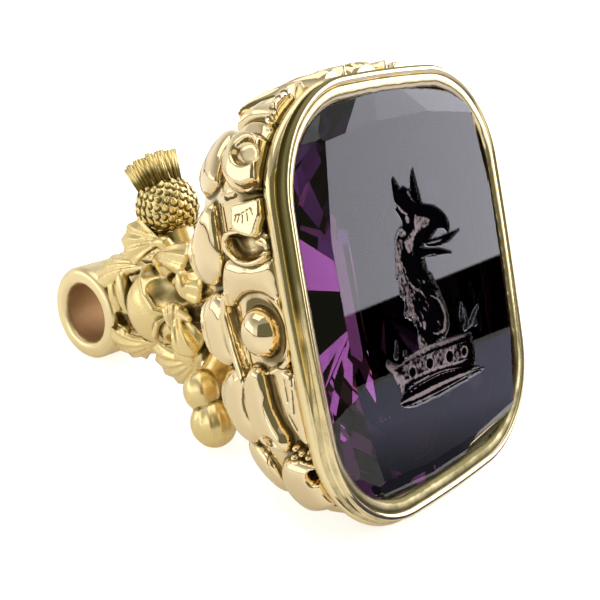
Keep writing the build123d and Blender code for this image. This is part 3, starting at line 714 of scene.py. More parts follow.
def make_handle_casting():
    c = Casting((-8.2, -9.9, -29.9), (0.0, 9.6, -10.9))
    # Collar against the case, and stem
    c.add(rod([(0, 0, -11.0), (0, 0, -11.5)], [4.6, 4.5]))
    c.add(rod([(0, 0, -11.4), (0, -0.1, -13.2)], [4.3, 3.2]), 0.3)
    c.add(rod([(0, -0.1, -12.5), (0, -0.45, -21.0), (0, -0.75, -28.6)], [3.0, 2.7, 2.35]), 0.4)
    # Acanthus leaves that clasp the collar
    for turn in (18, 54, 90, 126, 162):
        out = np.array((-math.sin(math.radians(turn)), math.cos(math.radians(turn)), 0))
        c.add(fan_leaf(out * 2.7 + (0, 0, -16.8), out * 4.7 + (0, 0, -11.9), out + (0, 0, -0.4),
                       30, 0.8, arch=0.08, droop=-0.2, folds=5, fold=0.12), 0.1)
    # Rose: a full round flower, opened on the side of the face
    c.add(oval(ROSE, (2.5, 2.9, 2.6)), 0.3)
    c.cut(oval((-4.5, 1.8, -19.35), (2.6, 2.6, 2.6)), 0.12)
    c.add(rod([(-2.1, 2.75, -23.4), (-3.25, 1.95, -22.5), (-3.9, 0.85, -21.7),
               (-3.85, -0.2, -21.1), (-3.2, -0.75, -20.5), (-2.3, -0.9, -19.9)],
              [0.15, 0.26, 0.3, 0.3, 0.26, 0.15]), 0.16)
    c.add(oval((-2.9, -1.8, -20.8), (0.85, 1.3, 1.2)), 0.3)
    c.add(rod([(-3.6, -2.9, -21.5), (-4.1, -2.1, -21.3), (-4.0, -1.3, -20.8), (-3.5, -0.9, -20.2)],
              [0.1, 0.24, 0.24, 0.14]), 0.12)
    c.add(fan_leaf((-3.1, -2.6, -19.6), (-3.75, 0.2, -18.9), (-0.9, 0.15, 0.2), 30, 0.6, arch=0.12,
                   folds=5, fold=0.09), 0.1)
    # Leaves: root, tip, facing, half opening, arch, folds
    leaves = [
        ((-1.9, 4.4, -20.7), (-2.9, 5.0, -24.2), (-0.75, 0.25, 0.55), 38, 0.12, 4),
        ((-2.4, 3.2, -21.1), (-4.0, 3.6, -16.2), (-0.80, 0.45, 0.35), 18, 0.12, 3),
        ((-2.0, 2.4, -22.8), (-1.7, 3.1, -29.0), (-0.50, 0.85, 0.00), 22, 0.08, 5),
        ((-2.1, -2.9, -23.2), (-1.8, -3.6, -29.1), (-0.80, -0.55, 0.15), 26, 0.12, 4),
        ((-3.9, -3.5, -16.6), (-3.5, -5.1, -21.6), (-0.85, -0.30, 0.40), 34, 0.14, 5),
        ((-2.8, 1.5, -18.9), (-4.5, 1.4, -14.9), (-0.95, 0.25, 0.10), 24, 0.12, 3),
        ((0.0, 2.4, -18.2), (0.0, 4.9, -13.4), (0.0, 0.90, -0.40), 34, 0.10, 5),
        ((0.0, -2.5, -17.2), (0.0, -4.5, -12.7), (0.0, -0.90, -0.30), 36, 0.10, 5),
        ((0.0, -2.7, -20.2), (0.0, -4.4, -26.0), (0.0, -1.00, 0.10), 32, 0.08, 5),
        ((0.0, 2.3, -23.6), (0.0, 3.5, -28.6), (0.0, 1.00, 0.00), 30, 0.08, 5),
    ]
    for root, tip, facing, opening, arch, folds in leaves:
        c.add(fan_leaf(root, tip, facing, opening, 0.6, arch=arch, folds=folds, fold=0.1), 0.06)
        c.add(rod([root, np.array(root) * 0.5 + np.array(tip) * 0.5], [0.45, 0.1]), 0.2)
        c.add(rod([np.array(root) * (0.75, 0.75, 1.0), root], [0.8, 0.5]), 0.2)
    # Petals between the rose and the ring, with a dark opening below them
    c.add(oval((-2.4, 0.9, -26.9), (0.75, 1.6, 0.55)), 0.08)
    c.add(oval((-2.85, 0.9, -25.3), (0.7, 1.75, 0.65)), 0.08)
    c.cut(oval((-2.3, -1.4, -27.4), (2.0, 0.7, 0.75)), 0.08)
    c.add(oval((-2.7, -2.15, -26.5), (0.45, 0.42, 0.45)), 0.05)
    # Folded petals by the case
    for root, tip, opening in (((-3.9, -0.4, -18.2), (-4.9, -3.3, -16.4), 26),
                               ((-3.3, -1.6, -18.7), (-4.3, -4.0, -17.3), 30)):
        c.add(fan_leaf(root, tip, (-0.8, 0.1, 0.6), opening, 0.9, arch=0.2, folds=2, fold=0.14),
              0.08)
    c.add(oval((-4.4, 1.7, -16.6), (0.6, 1.05, 0.5)), 0.1)
    c.add(rod([(-3.9, -0.8, -18.4), (-4.5, -0.4, -17.4), (-4.9, -0.7, -16.2)],
              [0.25, 0.38, 0.25]), 0.1)
    # Bud in its cup, on a stalk
    c.add(rod([(0, -0.3, -15.0), (-3.6, -3.9, -15.3), BUD], [0.9, 0.9, 0.8]), 0.3)
    c.add(rod([(-3.4, -3.8, -15.2), CUP], [0.9, 0.9]), 0.3)
    c.add(fluted(CUP, (1.6, 1.75, 1.6), 14, 0.035), 0.06)
    c.add(fluted(BUD, (1.3, 1.5, 1.25), 7, 0.04), 0.05)
    # Core of the thistle's head, its stalk and the foot of its tuft
    head, foot = np.array(THISTLE_HEAD), np.array(TUFT_FOOT)
    c.add(rod([(0, 1.5, -20.6), head], [1.3, 1.4]), 0.4)
    c.add(oval(head, (THISTLE_RADIUS,) * 3), 0.1)
    c.add(rod([foot, foot + TUFT_AXIS * 2.27], [1.5, 1.78]))
    c.keep(lambda x, y, z: z + HANDLE_FRONT)
    c.keep(lambda x, y, z: RING_RADIUS + 0.05 - np.hypot(y + RING_DROP, z + RING_REACH))
    return c


# The bezel: its moulding, as (share of the frame's width out from the opening, level in mm)

BEZEL_PROFILE = [
    (0.00, -0.02), (0.03, 0.07), (0.08, 0.14), (0.14, 0.19), (0.22, 0.23), (0.32, 0.265),
    (0.41, 0.265), (0.445, 0.20), (0.47, 0.20), (0.50, 0.275), (0.55, 0.34), (0.62, 0.372),
    (0.69, 0.34), (0.745, 0.25), (0.765, 0.14), (0.73, 0.05), (0.62, -0.02), (0.52, -0.09),
    (0.47, -0.18), (0.475, -0.29), (0.55, -0.37), (0.68, -0.415), (0.82, -0.455), (0.92, -0.54),
    (0.985, -0.66), (0.998, -0.79), (0.975, -0.93), (0.91, -1.05), (0.84, -1.14), (0.80, -1.19),
    (0.30, -1.19), (0.02, -1.19), (0.005, -1.15), (0.005, -0.30),
]


def cushion_line(width, height, corner, shares):
    """Places round a cushion outline. Shares run from 0 to 1, starting at the right side's
    middle, and stand for the same part of the outline whatever its size."""
    circles = cushion(width, height, corner)
    centre_x, centre_y, side_x, side_radius, end_y, end_radius = circles
    side_turn, end_turn = turns_of(circles)
    places = []
    for share in shares:
        quarter = share * 4 % 1
        if int(share * 4) % 2:
            quarter = 1 - quarter
        at = quarter * ROUND
        if at < SIDE_RUN:
            turn = at / SIDE_RUN * side_turn
            x, y = side_x + side_radius * math.cos(turn), side_radius * math.sin(turn)
        elif at < SIDE_RUN + CORNER_RUN:
            part = (at - SIDE_RUN) / CORNER_RUN
            turn = side_turn + part * (math.pi / 2 - side_turn - end_turn)
            x, y = centre_x + corner * math.cos(turn), centre_y + corner * math.sin(turn)
        else:
            turn = (ROUND - at) / (ROUND - SIDE_RUN - CORNER_RUN) * end_turn
            x, y = end_radius * math.sin(turn), end_y + end_radius * math.cos(turn)
        quadrant = int(share * 4) % 4
        places.append((x if quadrant in (0, 3) else -x, y if quadrant < 2 else -y))
    return np.array(places)


def wobble(values, waves, strength, seed):
    """A gentle unevenness along a closed line, as handwork leaves it."""
    random = np.random.default_rng(seed)
    total = 0
    for wave in waves:
        total = total + random.uniform(0.5, 1) * np.sin(
            2 * np.pi * (wave * values + random.uniform())) / len(waves)
    return strength * total


def make_bezel_mesh():
    """The bezel's points, faces and how much soil and painted shade it has at each point."""
    around = 900
    shares = np.arange(around) / around
    profile = smooth_line(BEZEL_PROFILE, 104, closed=True)
    profile = profile[np.r_[True, np.hypot(*np.diff(profile, axis=0).T) > 1e-4]]
    reach, level = profile.T
    rings = []
    for share, height in profile:
        share = max(share, 0.0)
        ring = cushion_line(OPENING_WIDTH + 2 * share * BEZEL_SIDE,
                            OPENING_HEIGHT + 2 * share * BEZEL_END,
                            OPENING_CORNER + share * (BEZEL_SIDE + BEZEL_END) / 2, shares)
        rings.append(np.column_stack([ring, np.full(around, height)]))
    rings = np.array(rings)
    # The hollow fades out towards the seal's lower end, where the moulding is one broad band,
    # and at the top the outer bead draws in under the leaves
    hollow = (level < 0.14) & (level > -0.455) & (reach < 0.84) & (reach > 0.4)
    filled = np.where(hollow, np.interp(level, (-0.455, 0.14), (0.86, 0.765)) - reach, 0.0)
    drawn = np.where((reach > 0.76) & (level < -0.30), -0.2, 0.0)
    lower = np.clip((-rings[:, :, 1] - 1) / 7, 0, 0.9)
    upper = np.clip((rings[:, :, 1] - 8.5) / 4, 0, 1)
    away = rings.mean(0)[:, :2]
    away = away / np.hypot(*away.T)[:, None]
    grow = np.abs(away) @ (BEZEL_SIDE, BEZEL_END)
    moved = (filled[:, None] * lower + drawn[:, None] * upper) * grow[None]
    rings[:, :, :2] += moved[:, :, None] * away[None]
    # The lip was pressed over the stone by hand, so its inner edge wanders and is nicked
    random = np.random.default_rng(21)
    near = np.clip(1 - reach / 0.20, 0, 1) * (level > -0.05)
    nicks = np.zeros(around)
    for at in random.uniform(0, around, 110):
        apart = np.abs((np.arange(around) - at + around / 2) % around - around / 2)
        nicks += random.uniform(0.3, 1) * np.exp(-(apart / random.uniform(1.2, 3.5)) ** 2)
    deep = np.clip(nicks, 0, 1.2)
    pull = wobble(shares, (9, 23, 47), 0.02, 4) - 0.02 * deep
    sink = wobble(shares, (12, 37, 71), 0.012, 6) - 0.012 * deep
    away = rings.mean(0)[:, :2]
    away = away / np.hypot(*away.T)[:, None]
    rings[:, :, :2] -= near[:, None, None] * pull[None, :, None] * away[None]
    rings[:, :, 2] += near[:, None] * sink[None]
    rings[:, :, 2] += (level > 0)[:, None] * wobble(shares, (4, 7, 11), 0.010, 7)[None]
    # Soil and painted shade in the groove and the hollow, less towards the lower end, and
    # painted shade on the inner slope at the lower end
    face = np.interp(reach, (0.0, 0.05, 0.16, 0.40, 0.455, 0.52, 0.65, 0.71, 1.0),
                     (0.40, 0.30, 0.05, 0.10, 0.70, 0.0, 0.0, 0.75, 0.85))
    soil_and_shade = np.where(level > 0.0, face, np.where(level > -0.42, 0.85, 0.0))
    soil_and_shade = np.where(level < -1.0, 0.6, soil_and_shade)
    less_shade_below = np.clip((rings[:, :, 1] + 6) / 12, 0.50, 1)
    outer = (level <= 0.0) | (reach > 0.65)
    soil_and_shade = soil_and_shade[:, None] * np.where(outer[:, None], less_shade_below, 1.0)
    slope = (level > 0.0) & (reach < 0.43)
    soil_and_shade = soil_and_shade + np.where(slope, 0.42, 0.0)[:, None] * np.clip((-rings[:, :, 1] - 5) / 5, 0, 1)
    # A little painted shade in the nicks of the lip
    soil_and_shade = soil_and_shade + near[:, None] * np.clip(nicks, 0, 1)[None] * 0.12
    return rings.reshape(-1, 3), grid_faces(len(rings), around, True, True), soil_and_shade.ravel()


def grid_faces(rows, columns, closed_rows=False, closed_columns=False):
    """Faces of a grid of points, row by row."""
    i = np.arange(rows if closed_rows else rows - 1)
    j = np.arange(columns if closed_columns else columns - 1)
    i, j = (part.ravel() for part in np.meshgrid(i, j, indexing="ij"))
    ni, nj = (i + 1) % rows, (j + 1) % columns
    return np.column_stack([i * columns + j, i * columns + nj, ni * columns + nj, ni * columns + j])


def make_ring_mesh():
    """The barrel ring's points, faces and painted shade in its bore: a thick band with worn,
    rounded lips.
    """
    half, rounding, around, wear_depth = RING_WIDTH / 2, 0.62, 260, 0.035
    section = []
    for cx, cr, start in ((half - rounding, RING_RADIUS - rounding, 0),
                          (rounding - half, RING_RADIUS - rounding, 90),
                          (rounding - half, RING_BORE + rounding, 180),
                          (half - rounding, RING_BORE + rounding, 270)):
        for turn in np.linspace(start, start + 90, 14):
            across, along = heading(turn)
            section.append((cx + rounding * across, cr + rounding * along))
    turns = np.arange(around) / around
    wear = np.abs(wobble(turns, (2, 3, 5), wear_depth, 11))
    points, soil_and_shade = [], []
    for x, radius in section:
        outer = np.clip((radius - RING_BORE) / (RING_RADIUS - RING_BORE), 0, 1)
        # Painted shade in the bore, fading out just past its edge
        soil_and_shade.append(np.full(around, np.interp(radius, (RING_BORE, RING_BORE + 0.3), (0.62, 0.0))))
        worn = radius - outer * wear
        points.append(np.column_stack([x * (1 - 0.01 * wear / wear_depth),
                                       worn * np.cos(2 * np.pi * turns) - RING_DROP,
                                       worn * np.sin(2 * np.pi * turns) - RING_REACH]))
    faces = grid_faces(len(section), around, True, True)
    return np.concatenate(points), faces, np.concatenate(soil_and_shade)


# The stone: a cushion amethyst, clipped out of a block facet by facet

GIRDLE_GROW, GIRDLE_TOP, GIRDLE_THICKNESS = 0.35, -0.35, 0.4
# Facets of the crown: direction, reach of the table's edge that way, height at the girdle
CROWN_FACETS = ((0, 8.38, -0.35), (10, 9.02, -0.35), (28, 11.35, -0.35), (46, 12.42, -0.35),
                (66, 12.25, -0.35), (83, 10.66, -0.30), (90, 10.42, -0.12))
# Steps of the pavilion: share of its depth, share drawn in and directions
PAVILION_STEPS = ((0.22, 0.12, (0, 20, 38, 52, 70, 90)), (0.40, 0.25, (10, 33, 48, 66, 82)),
                  (0.58, 0.40, (0, 28, 45, 62, 90)), (1.00, 0.93, (0, 20, 45, 70, 90)))
CREST_LOW, CREST_HIGH, CREST_STEP = (-6.9, -7.7), (5.7, 8.5), 0.06


def all_round(angles):
    """The angles of one quarter, mirrored round the stone."""
    return sorted({turn % 360 for a in angles for turn in (a, 180 - a, 180 + a, -a)})


def stone_planes():
    """The stone's facets, each as a place on it and its outward direction."""
    width, height = OPENING_WIDTH + 2 * GIRDLE_GROW, OPENING_HEIGHT + 2 * GIRDLE_GROW
    corner = OPENING_CORNER + GIRDLE_GROW
    centre_x, centre_y = cushion(width, height, corner)[:2]

    def girdle(angle):
        across, along = (abs(part) for part in heading(angle))
        return max(centre_x * across + centre_y * along + corner, width / 2 * across,
                   height / 2 * along)

    def facet(angle, low, high):
        out = np.array((*heading(angle), 0))
        facing = unit(np.array((0, 0, low[0] - high[0])) + out * (high[1] - low[1]))
        return out * low[0] + (0, 0, low[1]), facing

    planes = [(np.array((0, 0, TABLE_HEIGHT)), np.array((0, 0, 1.0)))]
    for main, reach, rim_height in CROWN_FACETS:
        for angle in all_round([main]):
            # The hand-cut table lies a little nearer to the right side
            off_centre = 0.15 * max(heading(angle)[0], 0)
            lift = 0.2 if 290 < angle < 320 else 0.0
            planes.append(facet(angle, (girdle(angle), rim_height + lift),
                                (reach + off_centre, TABLE_HEIGHT)))
    low_edge = GIRDLE_TOP - GIRDLE_THICKNESS
    above, above_drawn = 0.0, 0.0
    for depth, drawn, angles in PAVILION_STEPS:
        for angle in all_round(angles):
            reach = girdle(angle)
            keel = (height - width) / 2 * abs(heading(angle)[1])
            low = (reach - (reach - keel) * drawn, low_edge - PAVILION_DEPTH * depth)
            high = (reach - (reach - keel) * above_drawn, low_edge - PAVILION_DEPTH * above)
            planes.append(facet(angle, low, high))
        above, above_drawn = depth, drawn
    rim = cushion_line(width, height, corner, (np.arange(96) + 0.5) / 96)
    for i, place in enumerate(rim):
        run = rim[(i + 1) % 96] - rim[i - 1]
        planes.append((np.array((*place, 0)), unit((run[1], -run[0], 0))))
    return planes


def clip(faces, place, facing):
    """A convex body, as lists of corners, cut off outside a plane."""
    kept, rim, near = [], [], 1e-6
    for corners in faces:
        heights = (corners - place) @ facing
        part = []
        for i, (a, high) in enumerate(zip(corners, heights)):
            b, low = corners[(i + 1) % len(corners)], heights[(i + 1) % len(corners)]
            if high < near:
                part.append(a)
            if min(high, low) < -near and max(high, low) > near:
                crossing = a + (b - a) * high / (high - low)
                part.append(crossing)
                rim.append(crossing)
            if abs(high) <= near:
                rim.append(a)
        if len(part) > 2 and heights.min() < -near:
            kept.append(np.array(part))
    corners = []
    for point in rim:
        if all(np.abs(point - other).max() > 1e-5 for other in corners):
            corners.append(point)
    if len(corners) > 2:
        corners = np.array(corners)
        side = unit(np.cross(facing, (0.3, 0.5, 0.8)))
        middle = corners.mean(0)
        order = np.argsort(np.arctan2((corners - middle) @ np.cross(facing, side),
                                      (corners - middle) @ side))
        kept.append(corners[order])
    return kept


def stone_facets():
    """The stone's facets, as lists of corners."""
    far = 15.0
    body = []
    for axis in range(3):
        for side in (-1, 1):
            u, v = np.eye(3)[(axis + 1) % 3], np.eye(3)[(axis + 2) % 3]
            out = np.eye(3)[axis] * side
            ring = [out + a * u + b * v for a, b in ((-1, -1), (1, -1), (1, 1), (-1, 1))]
            body.append(far * np.array(ring if side > 0 else ring[::-1]))
    for place, facing in stone_planes():
        body = clip(body, place, facing)
    return body


CORONET_TOP = spots(-490, -400, -390, -395, -290, -375, -124, -370, 33, -380, 227, -398, 360, -410)
CORONET_LOW = spots(-430, -560, -350, -540, -200, -533, -14, -547, 210, -580, 350, -600)
JEWELS = strokes(-279, -468, 33, -92, -468, 36, 127, -488, 40, 295, -505, 30)


def engraved_crest():
    """A griffin's head rising out of a coronet, cut into the table: how deep it is, and
    where the cut is pale, which is frosting and painted highlights."""
    cut = Drawing(CREST_LOW, CREST_HIGH, ground=0.0, step=CREST_STEP)
    pale = Drawing(CREST_LOW, CREST_HIGH, ground=0.0, step=CREST_STEP, base=0.0)
    # Neck and breast
    cut.swell(spots(-184, 403, -235, 379, -260, 345, -280, 270, -300, 185, -298, 100, -295, 30,
        -265, -40, -285, -105, -220, -140, -195, -185, -185, -240, -200, -290, -190, -350, -70,
        -365, 10, -350, 85, -330, 125, -295, 142, -235, 136, -175, 109, -100, 72, -10, 30, 40, 2,
        85, -15, 140, 5, 220, -20, 330, -100, 370), 0.30, 0.8, base=0.05)
    random = np.random.default_rng(12)
    for row in range(13):
        level = 2.9 - row * 0.5
        left = np.interp(level, (-3.3, -1.9, -1.0, 0.4, 2.7), (-1.9, -2.0, -2.8, -2.95, -2.75))
        right = np.interp(level, (-3.3, -1.8, -0.2, 0.9, 2.7), (0.8, 1.3, 0.8, 0.0, 0.0))
        for x in np.arange(left + 0.2, right - 0.1, 0.46):
            x = x + 0.23 * (row % 2) + random.uniform(-0.07, 0.07)
            y = level + random.uniform(-0.08, 0.08)
            cut.wire([(x - 0.05, y + 0.26, 0.08), (x, y, 0.15), (x + 0.12, y - 0.32, 0.03)], 0.36,
                base=0.12)
            near_back = 1 - np.clip((x - left) / 1.6, 0, 1)
            if random.uniform() < 0.25 + 0.65 * near_back:
                pale.wire([(x - 0.02, y + 0.24, 0.03), (x + 0.14, y - 0.05, 0.07), (x + 0.16, y -
                    0.34, 0.02)], 0.45 + 0.5 * near_back)
    for x, y in ((-2.6, 3.3), (-2.85, 2.3), (-3.0, 1.4), (-2.9, 0.4), (-2.6, -0.4), (-2.8, -0.95),
        (-2.0, -1.6)):
        cut.wire([(x + 0.3, y + 0.35, 0.1), (x, y, 0.12), (x - 0.12, y - 0.3, 0.02)], 0.26,
            base=0.03)
        pale.wire([(x + 0.3, y + 0.3, 0.06), (x + 0.05, y, 0.10), (x - 0.08, y - 0.25, 0.02)], 0.9)
    pale.wire(strokes(-200, 370, 15, -245, 330, 28, -250, 260, 30, -230, 190, 25, -210, 140, 5),
        0.75)
    pale.wire(strokes(40, -70, 3, 95, -110, 7, 130, -190, 9, 130, -250, 8, 100, -305, 10, 40, -315,
        9, 0, -295, 3), 0.9)
    pale.bead((-0.75, -2.3), (0.22, 0.3), 0.8, 0.2)
    # Skull, hooked beak, cheek and ears
    cut.swell(spots(-210, 515, -190, 470, -170, 430, -175, 380, -140, 330, -80, 290, 30, 260, 70,
        268, 100, 285, 150, 312, 205, 321, 255, 306, 280, 276, 304, 306, 306, 345, 280, 388, 234,
        428, 186, 460, 123, 483, 72, 495, 40, 510, -54, 530, -130, 540), 0.34, 0.6, base=0.04)
    cut.bead((0.4, 3.85), (0.75, 0.5), 0.42, 0.4, 0.25, turn=-0.6)
    cut.groove(strokes(20, 475, 5, 100, 450, 7, 190, 410, 6, 250, 350, 3), 0.12)
    pale.swell(spots(20, 430, 60, 425, 110, 390, 70, 360, 20, 340, 10, 380), 0.6, 0.2)
    pale.wire(strokes(15, 445, 4, 15, 400, 12, 5, 360, 13, -50, 315, 16, -110, 290, 15, -130, 255,
        5), 0.95)
    pale.wire(strokes(-70, 310, 6, -75, 270, 10, -90, 235, 4), 0.8)
    cut.swell(spots(-195, 705, -215, 670, -216, 620, -210, 550, -200, 510, -130, 500, -95, 550,
        -120, 590, -150, 640), 0.30, 0.35, base=0.04, sharp=True)
    cut.swell(spots(-140, 610, -105, 630, -70, 605, -40, 600, -30, 520, -150, 520), 0.26, 0.3,
        base=0.04)
    cut.swell(spots(17, 730, -15, 690, -35, 610, -30, 530, 49, 500, 47, 550, 35, 605, 26, 660),
        0.30, 0.35, base=0.04, sharp=True)
    pale.wire(strokes(-180, 555, 5, -140, 510, 10, -90, 470, 9, -60, 460, 3), 0.8)
    pale.wire(strokes(-50, 600, 3, -35, 570, 9, -5, 540, 8, 5, 520, 3), 0.7)
    pale.bead((-0.75, 4.3), (0.22, 0.3), 0.75, 0.15, turn=0.5)
    # Tongue and lower beak
    cut.wire(strokes(50, 255, 16, 150, 242, 26, 270, 245, 24, 410, 272, 3), 0.28, base=0.03)
    pale.wire(strokes(70, 250, 3, 160, 242, 8, 260, 242, 2), 0.8)
    cut.wire(strokes(-50, 215, 24, 40, 198, 27, 160, 180, 20, 285, 148, 3), 0.26, base=0.03)
    pale.wire(strokes(-20, 175, 4, 60, 178, 6, 160, 168, 2), 0.8)
    # Coronet: a band with a rolled rim and sunk jewels, and a leaf at its end
    cut.swell(np.concatenate([CORONET_TOP, CORONET_LOW[::-1]]), 0.24, 0.35, base=0.05)
    cut.wire(np.column_stack([CORONET_TOP, (0.1, 0.14, 0.16, 0.18, 0.16, 0.14, 0.08)]), 0.34,
        base=0.1)
    pale.wire(np.column_stack([CORONET_TOP, (0.12, 0.14, 0.18, 0.22, 0.18, 0.13, 0.04)]), 0.8)
    cut.groove(strokes(-390, -415, 5, -280, -400, 5, -130, -398, 5, 25, -408, 5, 190, -420, 5, 350,
        -435, 5), 0.16)
    for x in np.arange(-3.7, 3.4, 0.24):
        level = np.interp(x, (-3.9, -2.8, -1.3, 0.25, 1.9, 3.5),
                          (-4.3, -4.14, -4.13, -4.22, -4.35, -4.5))
        pale.bead((x, level), (0.065, 0.065), 0.7, 0.06)
    pale.wire(strokes(-420, -510, 10, -330, -500, 12, -200, -505, 13, 0, -520, 12, 200, -550, 10,
        320, -560, 4), 0.75)
    for x, y, radius in JEWELS:
        pale.bead((x, y), (radius + 0.16, radius + 0.13), 0.7, 0.1)
        pale.hollow(round_outline((x, y), (radius, radius - 0.03)), 0.0, 0.08)
        cut.bead((x, y), (radius, radius - 0.03), 0.42, 0.25, 0.1)
    cut.swell(spots(-520, -330, -540, -360, -470, -440, -460, -480, -425, -500, -440, -580, -400,
        -550, -380, -460, -410, -390, -480, -365), 0.28, 0.3, base=0.05)
    pale.wire(strokes(-525, -345, 10, -475, -400, 22, -440, -450, 22, -410, -500, 16, -420, -570,
        6), 0.85)
    for x, y in ((-4.45, -3.2), (-3.55, -3.35)):
        pale.bead((x, y), (0.13, 0.14), 0.8, 0.1)
        cut.bead((x, y), (0.16, 0.17), 0.2, 0.14, 0.03)
    cut.wire(strokes(-420, -240, 4, -430, -290, 8, -440, -320, 6), 0.2, base=0.03)
    pale.wire(strokes(-420, -245, 2, -430, -290, 5, -440, -320, 4), 0.7)
    # Fleuron at the far end
    for line in (((3.1, -1.9), (2.85, -2.7), (3.15, -3.2)), ((4.9, -2.5), (4.3, -2.9), (3.6, -3.5)),
        ((3.3, -2.3), (3.4, -2.9), (3.3, -3.5))):
        cut.wire(np.column_stack([line, (0.04, 0.12, 0.08)]), 0.24, base=0.03)
        pale.wire(np.column_stack([line, (0.02, 0.07, 0.05)]), 0.65)
    for x, y in ((4.3, -3.45), (3.1, -3.5), (3.75, -3.35)):
        pale.bead((x, y), (0.18, 0.16), 0.7, 0.12)
        cut.bead((x, y), (0.2, 0.18), 0.2, 0.14, 0.03)
    # Foot of the coronet, seen as flat rings one below the other
    cut.swell(spots(-440, -575, -300, -540, -10, -545, 230, -585, 400, -635, 240, -630, -20, -610,
        -300, -600, -460, -610), 0.3, 0.2, base=0.1)
    pale.wire(strokes(-410, -568, 5, -320, -550, 6, -190, -545, 7, 0, -550, 6, 230, -590, 3), 0.95)
    pale.wire(strokes(-320, -578, 2, -190, -566, 3, 10, -568, 4, 190, -595, 2), 0.8)
    cut.swell(spots(-470, -610, -340, -598, -110, -605, 130, -618, 380, -645, 450, -665, 220, -675,
        -20, -676, -210, -670, -370, -655), 0.18, 0.12, base=0.06)
    pale.wire(strokes(-450, -612, 5, -320, -612, 11, -100, -620, 13, 140, -632, 12, 420, -660, 3),
        1.0)
    pale.wire(strokes(-390, -645, 3, -200, -658, 6, 0, -662, 6, 220, -662, 5, 340, -660, 2), 0.9)
    for x in np.arange(-3.2, 3.4, 0.23):
        level = np.interp(x, (-3.2, -0.2, 3.4), (-6.72, -6.86, -6.78))
        pale.wire([(x - 0.06, level, 0.035), (x + 0.07, level - 0.05 * random.uniform(0, 1), 0.03)],
            random.uniform(0.2, 0.8))
    # Broad pale patches: frosting and painted highlights
    patches = (
        (0.5, spots(16, 438, 84, 420, 154, 397, 140, 358, 60, 337, -30, 323, -100, 307, -141, 317,
            -79, 338, -16, 372)),
        (0.58, spots(-141, 315, -72, 311, -55, 277, -83, 242, -122, 229, -144, 275)),
        (0.6, spots(-186, 403, -117, 373, -114, 340, -169, 339, -216, 355, -258, 339, -234, 384)),
        (0.46, spots(-258, 339, -279, 283, -287, 224, -305, 168, -286, 103, -256, 25, -259, -46,
            -292, -104, -237, -123, -176, -201, -125, -170, -151, -114, -125, -38, -172, 46, -195,
            123, -201, 195, -174, 261, -150, 317)),
        (0.48, spots(-187, -167, -189, -250, -241, -297, -279, -339, -97, -359, -120, -279, -140,
            -253)),
        (0.42, spots(-372, -394, -231, -389, -71, -399, 112, -419, 279, -456, 296, -538, 139, -531,
            -46, -508, -227, -500, -372, -518)),
        (0.62, spots(-524, -333, -525, -368, -456, -450, -451, -493, -415, -515, -417, -586, -370,
            -508, -372, -456, -428, -408, -333, -375)),
        (0.95, spots(-397, -608, -237, -603, -36, -608, 192, -624, 369, -644, 264, -650, 49, -640,
            -158, -636, -317, -630)),
    )
    for strength, outline in patches:
        pale.swell(outline, strength, 0.12)
    pale.wire(strokes(-175, 98, 5, -134, 27, 10, -58, -23, 10, -18, -75, 4), 0.6)
    for x, y, radius in JEWELS:
        pale.hollow(round_outline((x, y), (radius, radius - 0.03)), 0.0, 0.08)
    return cut.height, pale.height


def make_stone_mesh():
    """The stone's points, faces, each point's frosting, which also paints the cut dark as
    painted shade, its pale powder and painted highlights, and whether each face is smooth."""
    points, lookup, faces = [], {}, []

    def number(point):
        key = tuple(np.round(point, 4))
        if key not in lookup:
            lookup[key] = len(points)
            points.append(point)
        return lookup[key]

    for corners in stone_facets():
        loop = [number(p) for p in corners]
        loop = [a for a, b in zip(loop, loop[1:] + loop[:1]) if a != b]
        if len(loop) > 2 and corners[:, 2].min() > TABLE_HEIGHT - 1e-5:
            table = loop
        elif len(loop) > 2:
            faces.append(loop)
    depth, pale = engraved_crest()
    cut = np.minimum(depth, 0.42)
    rows, columns = cut.shape
    cut[0], cut[-1], cut[:, 0], cut[:, -1] = 0, 0, 0, 0
    first = len(points)
    x = CREST_LOW[0] + CREST_STEP * np.arange(rows)
    y = CREST_LOW[1] + CREST_STEP * np.arange(columns)
    grid = np.stack([*np.meshgrid(x, y, indexing="ij"), TABLE_HEIGHT - cut], -1).reshape(-1, 3)
    quads = first + grid_faces(rows, columns)[:, ::-1]
    numbers = np.arange(rows * columns).reshape(rows, columns)
    edge = np.concatenate([numbers[:, 0], numbers[-1, 1:], numbers[-2::-1, -1],
                           numbers[0, -2:0:-1]])
    every = np.concatenate([np.array(points), grid])
    middle = grid.mean(0)

    def turn(index):
        return math.atan2(every[index][1] - middle[1], every[index][0] - middle[0]) % (2 * math.pi)

    # Joins the table's corners to the edge of the crest's grid
    outer = sorted(table, key=turn)
    inner = sorted((first + i for i in edge.tolist()), key=turn)
    half_turns = []
    for a, b in zip(outer, outer[1:] + outer[:1]):
        gap = (turn(b) - turn(a)) % (2 * math.pi)
        half_turns.append((turn(a) + gap / 2) % (2 * math.pi))

    def holder(angle):
        """The table corner that faces this direction from the crest."""
        for k in range(len(outer)):
            start, end = half_turns[k - 1], half_turns[k]
            if (angle - start) % (2 * math.pi) < (end - start) % (2 * math.pi):
                return k
        return 0

    holders = [holder(turn(i)) for i in inner]
    for k, (a, b) in enumerate(zip(inner, inner[1:] + inner[:1])):
        at, following = holders[k], holders[(k + 1) % len(inner)]
        faces.append((outer[at], b, a))
        while at != following:
            faces.append((outer[at], outer[(at + 1) % len(outer)], b))
            at = (at + 1) % len(outer)
    smooth = [False] * len(faces) + [True] * len(quads)
    # The cut is painted dark as painted shade; its pale marks are frosting and painted highlights
    frost = np.concatenate([np.zeros(first), np.clip(depth / 0.05, 0, 1).ravel()])
    powder = np.concatenate([np.zeros(first), np.clip(pale, 0, 1).ravel()])
    return every, faces + quads.tolist(), frost, powder, smooth


# Geometry Nodes: the thistle's scales and the florets of its tuft

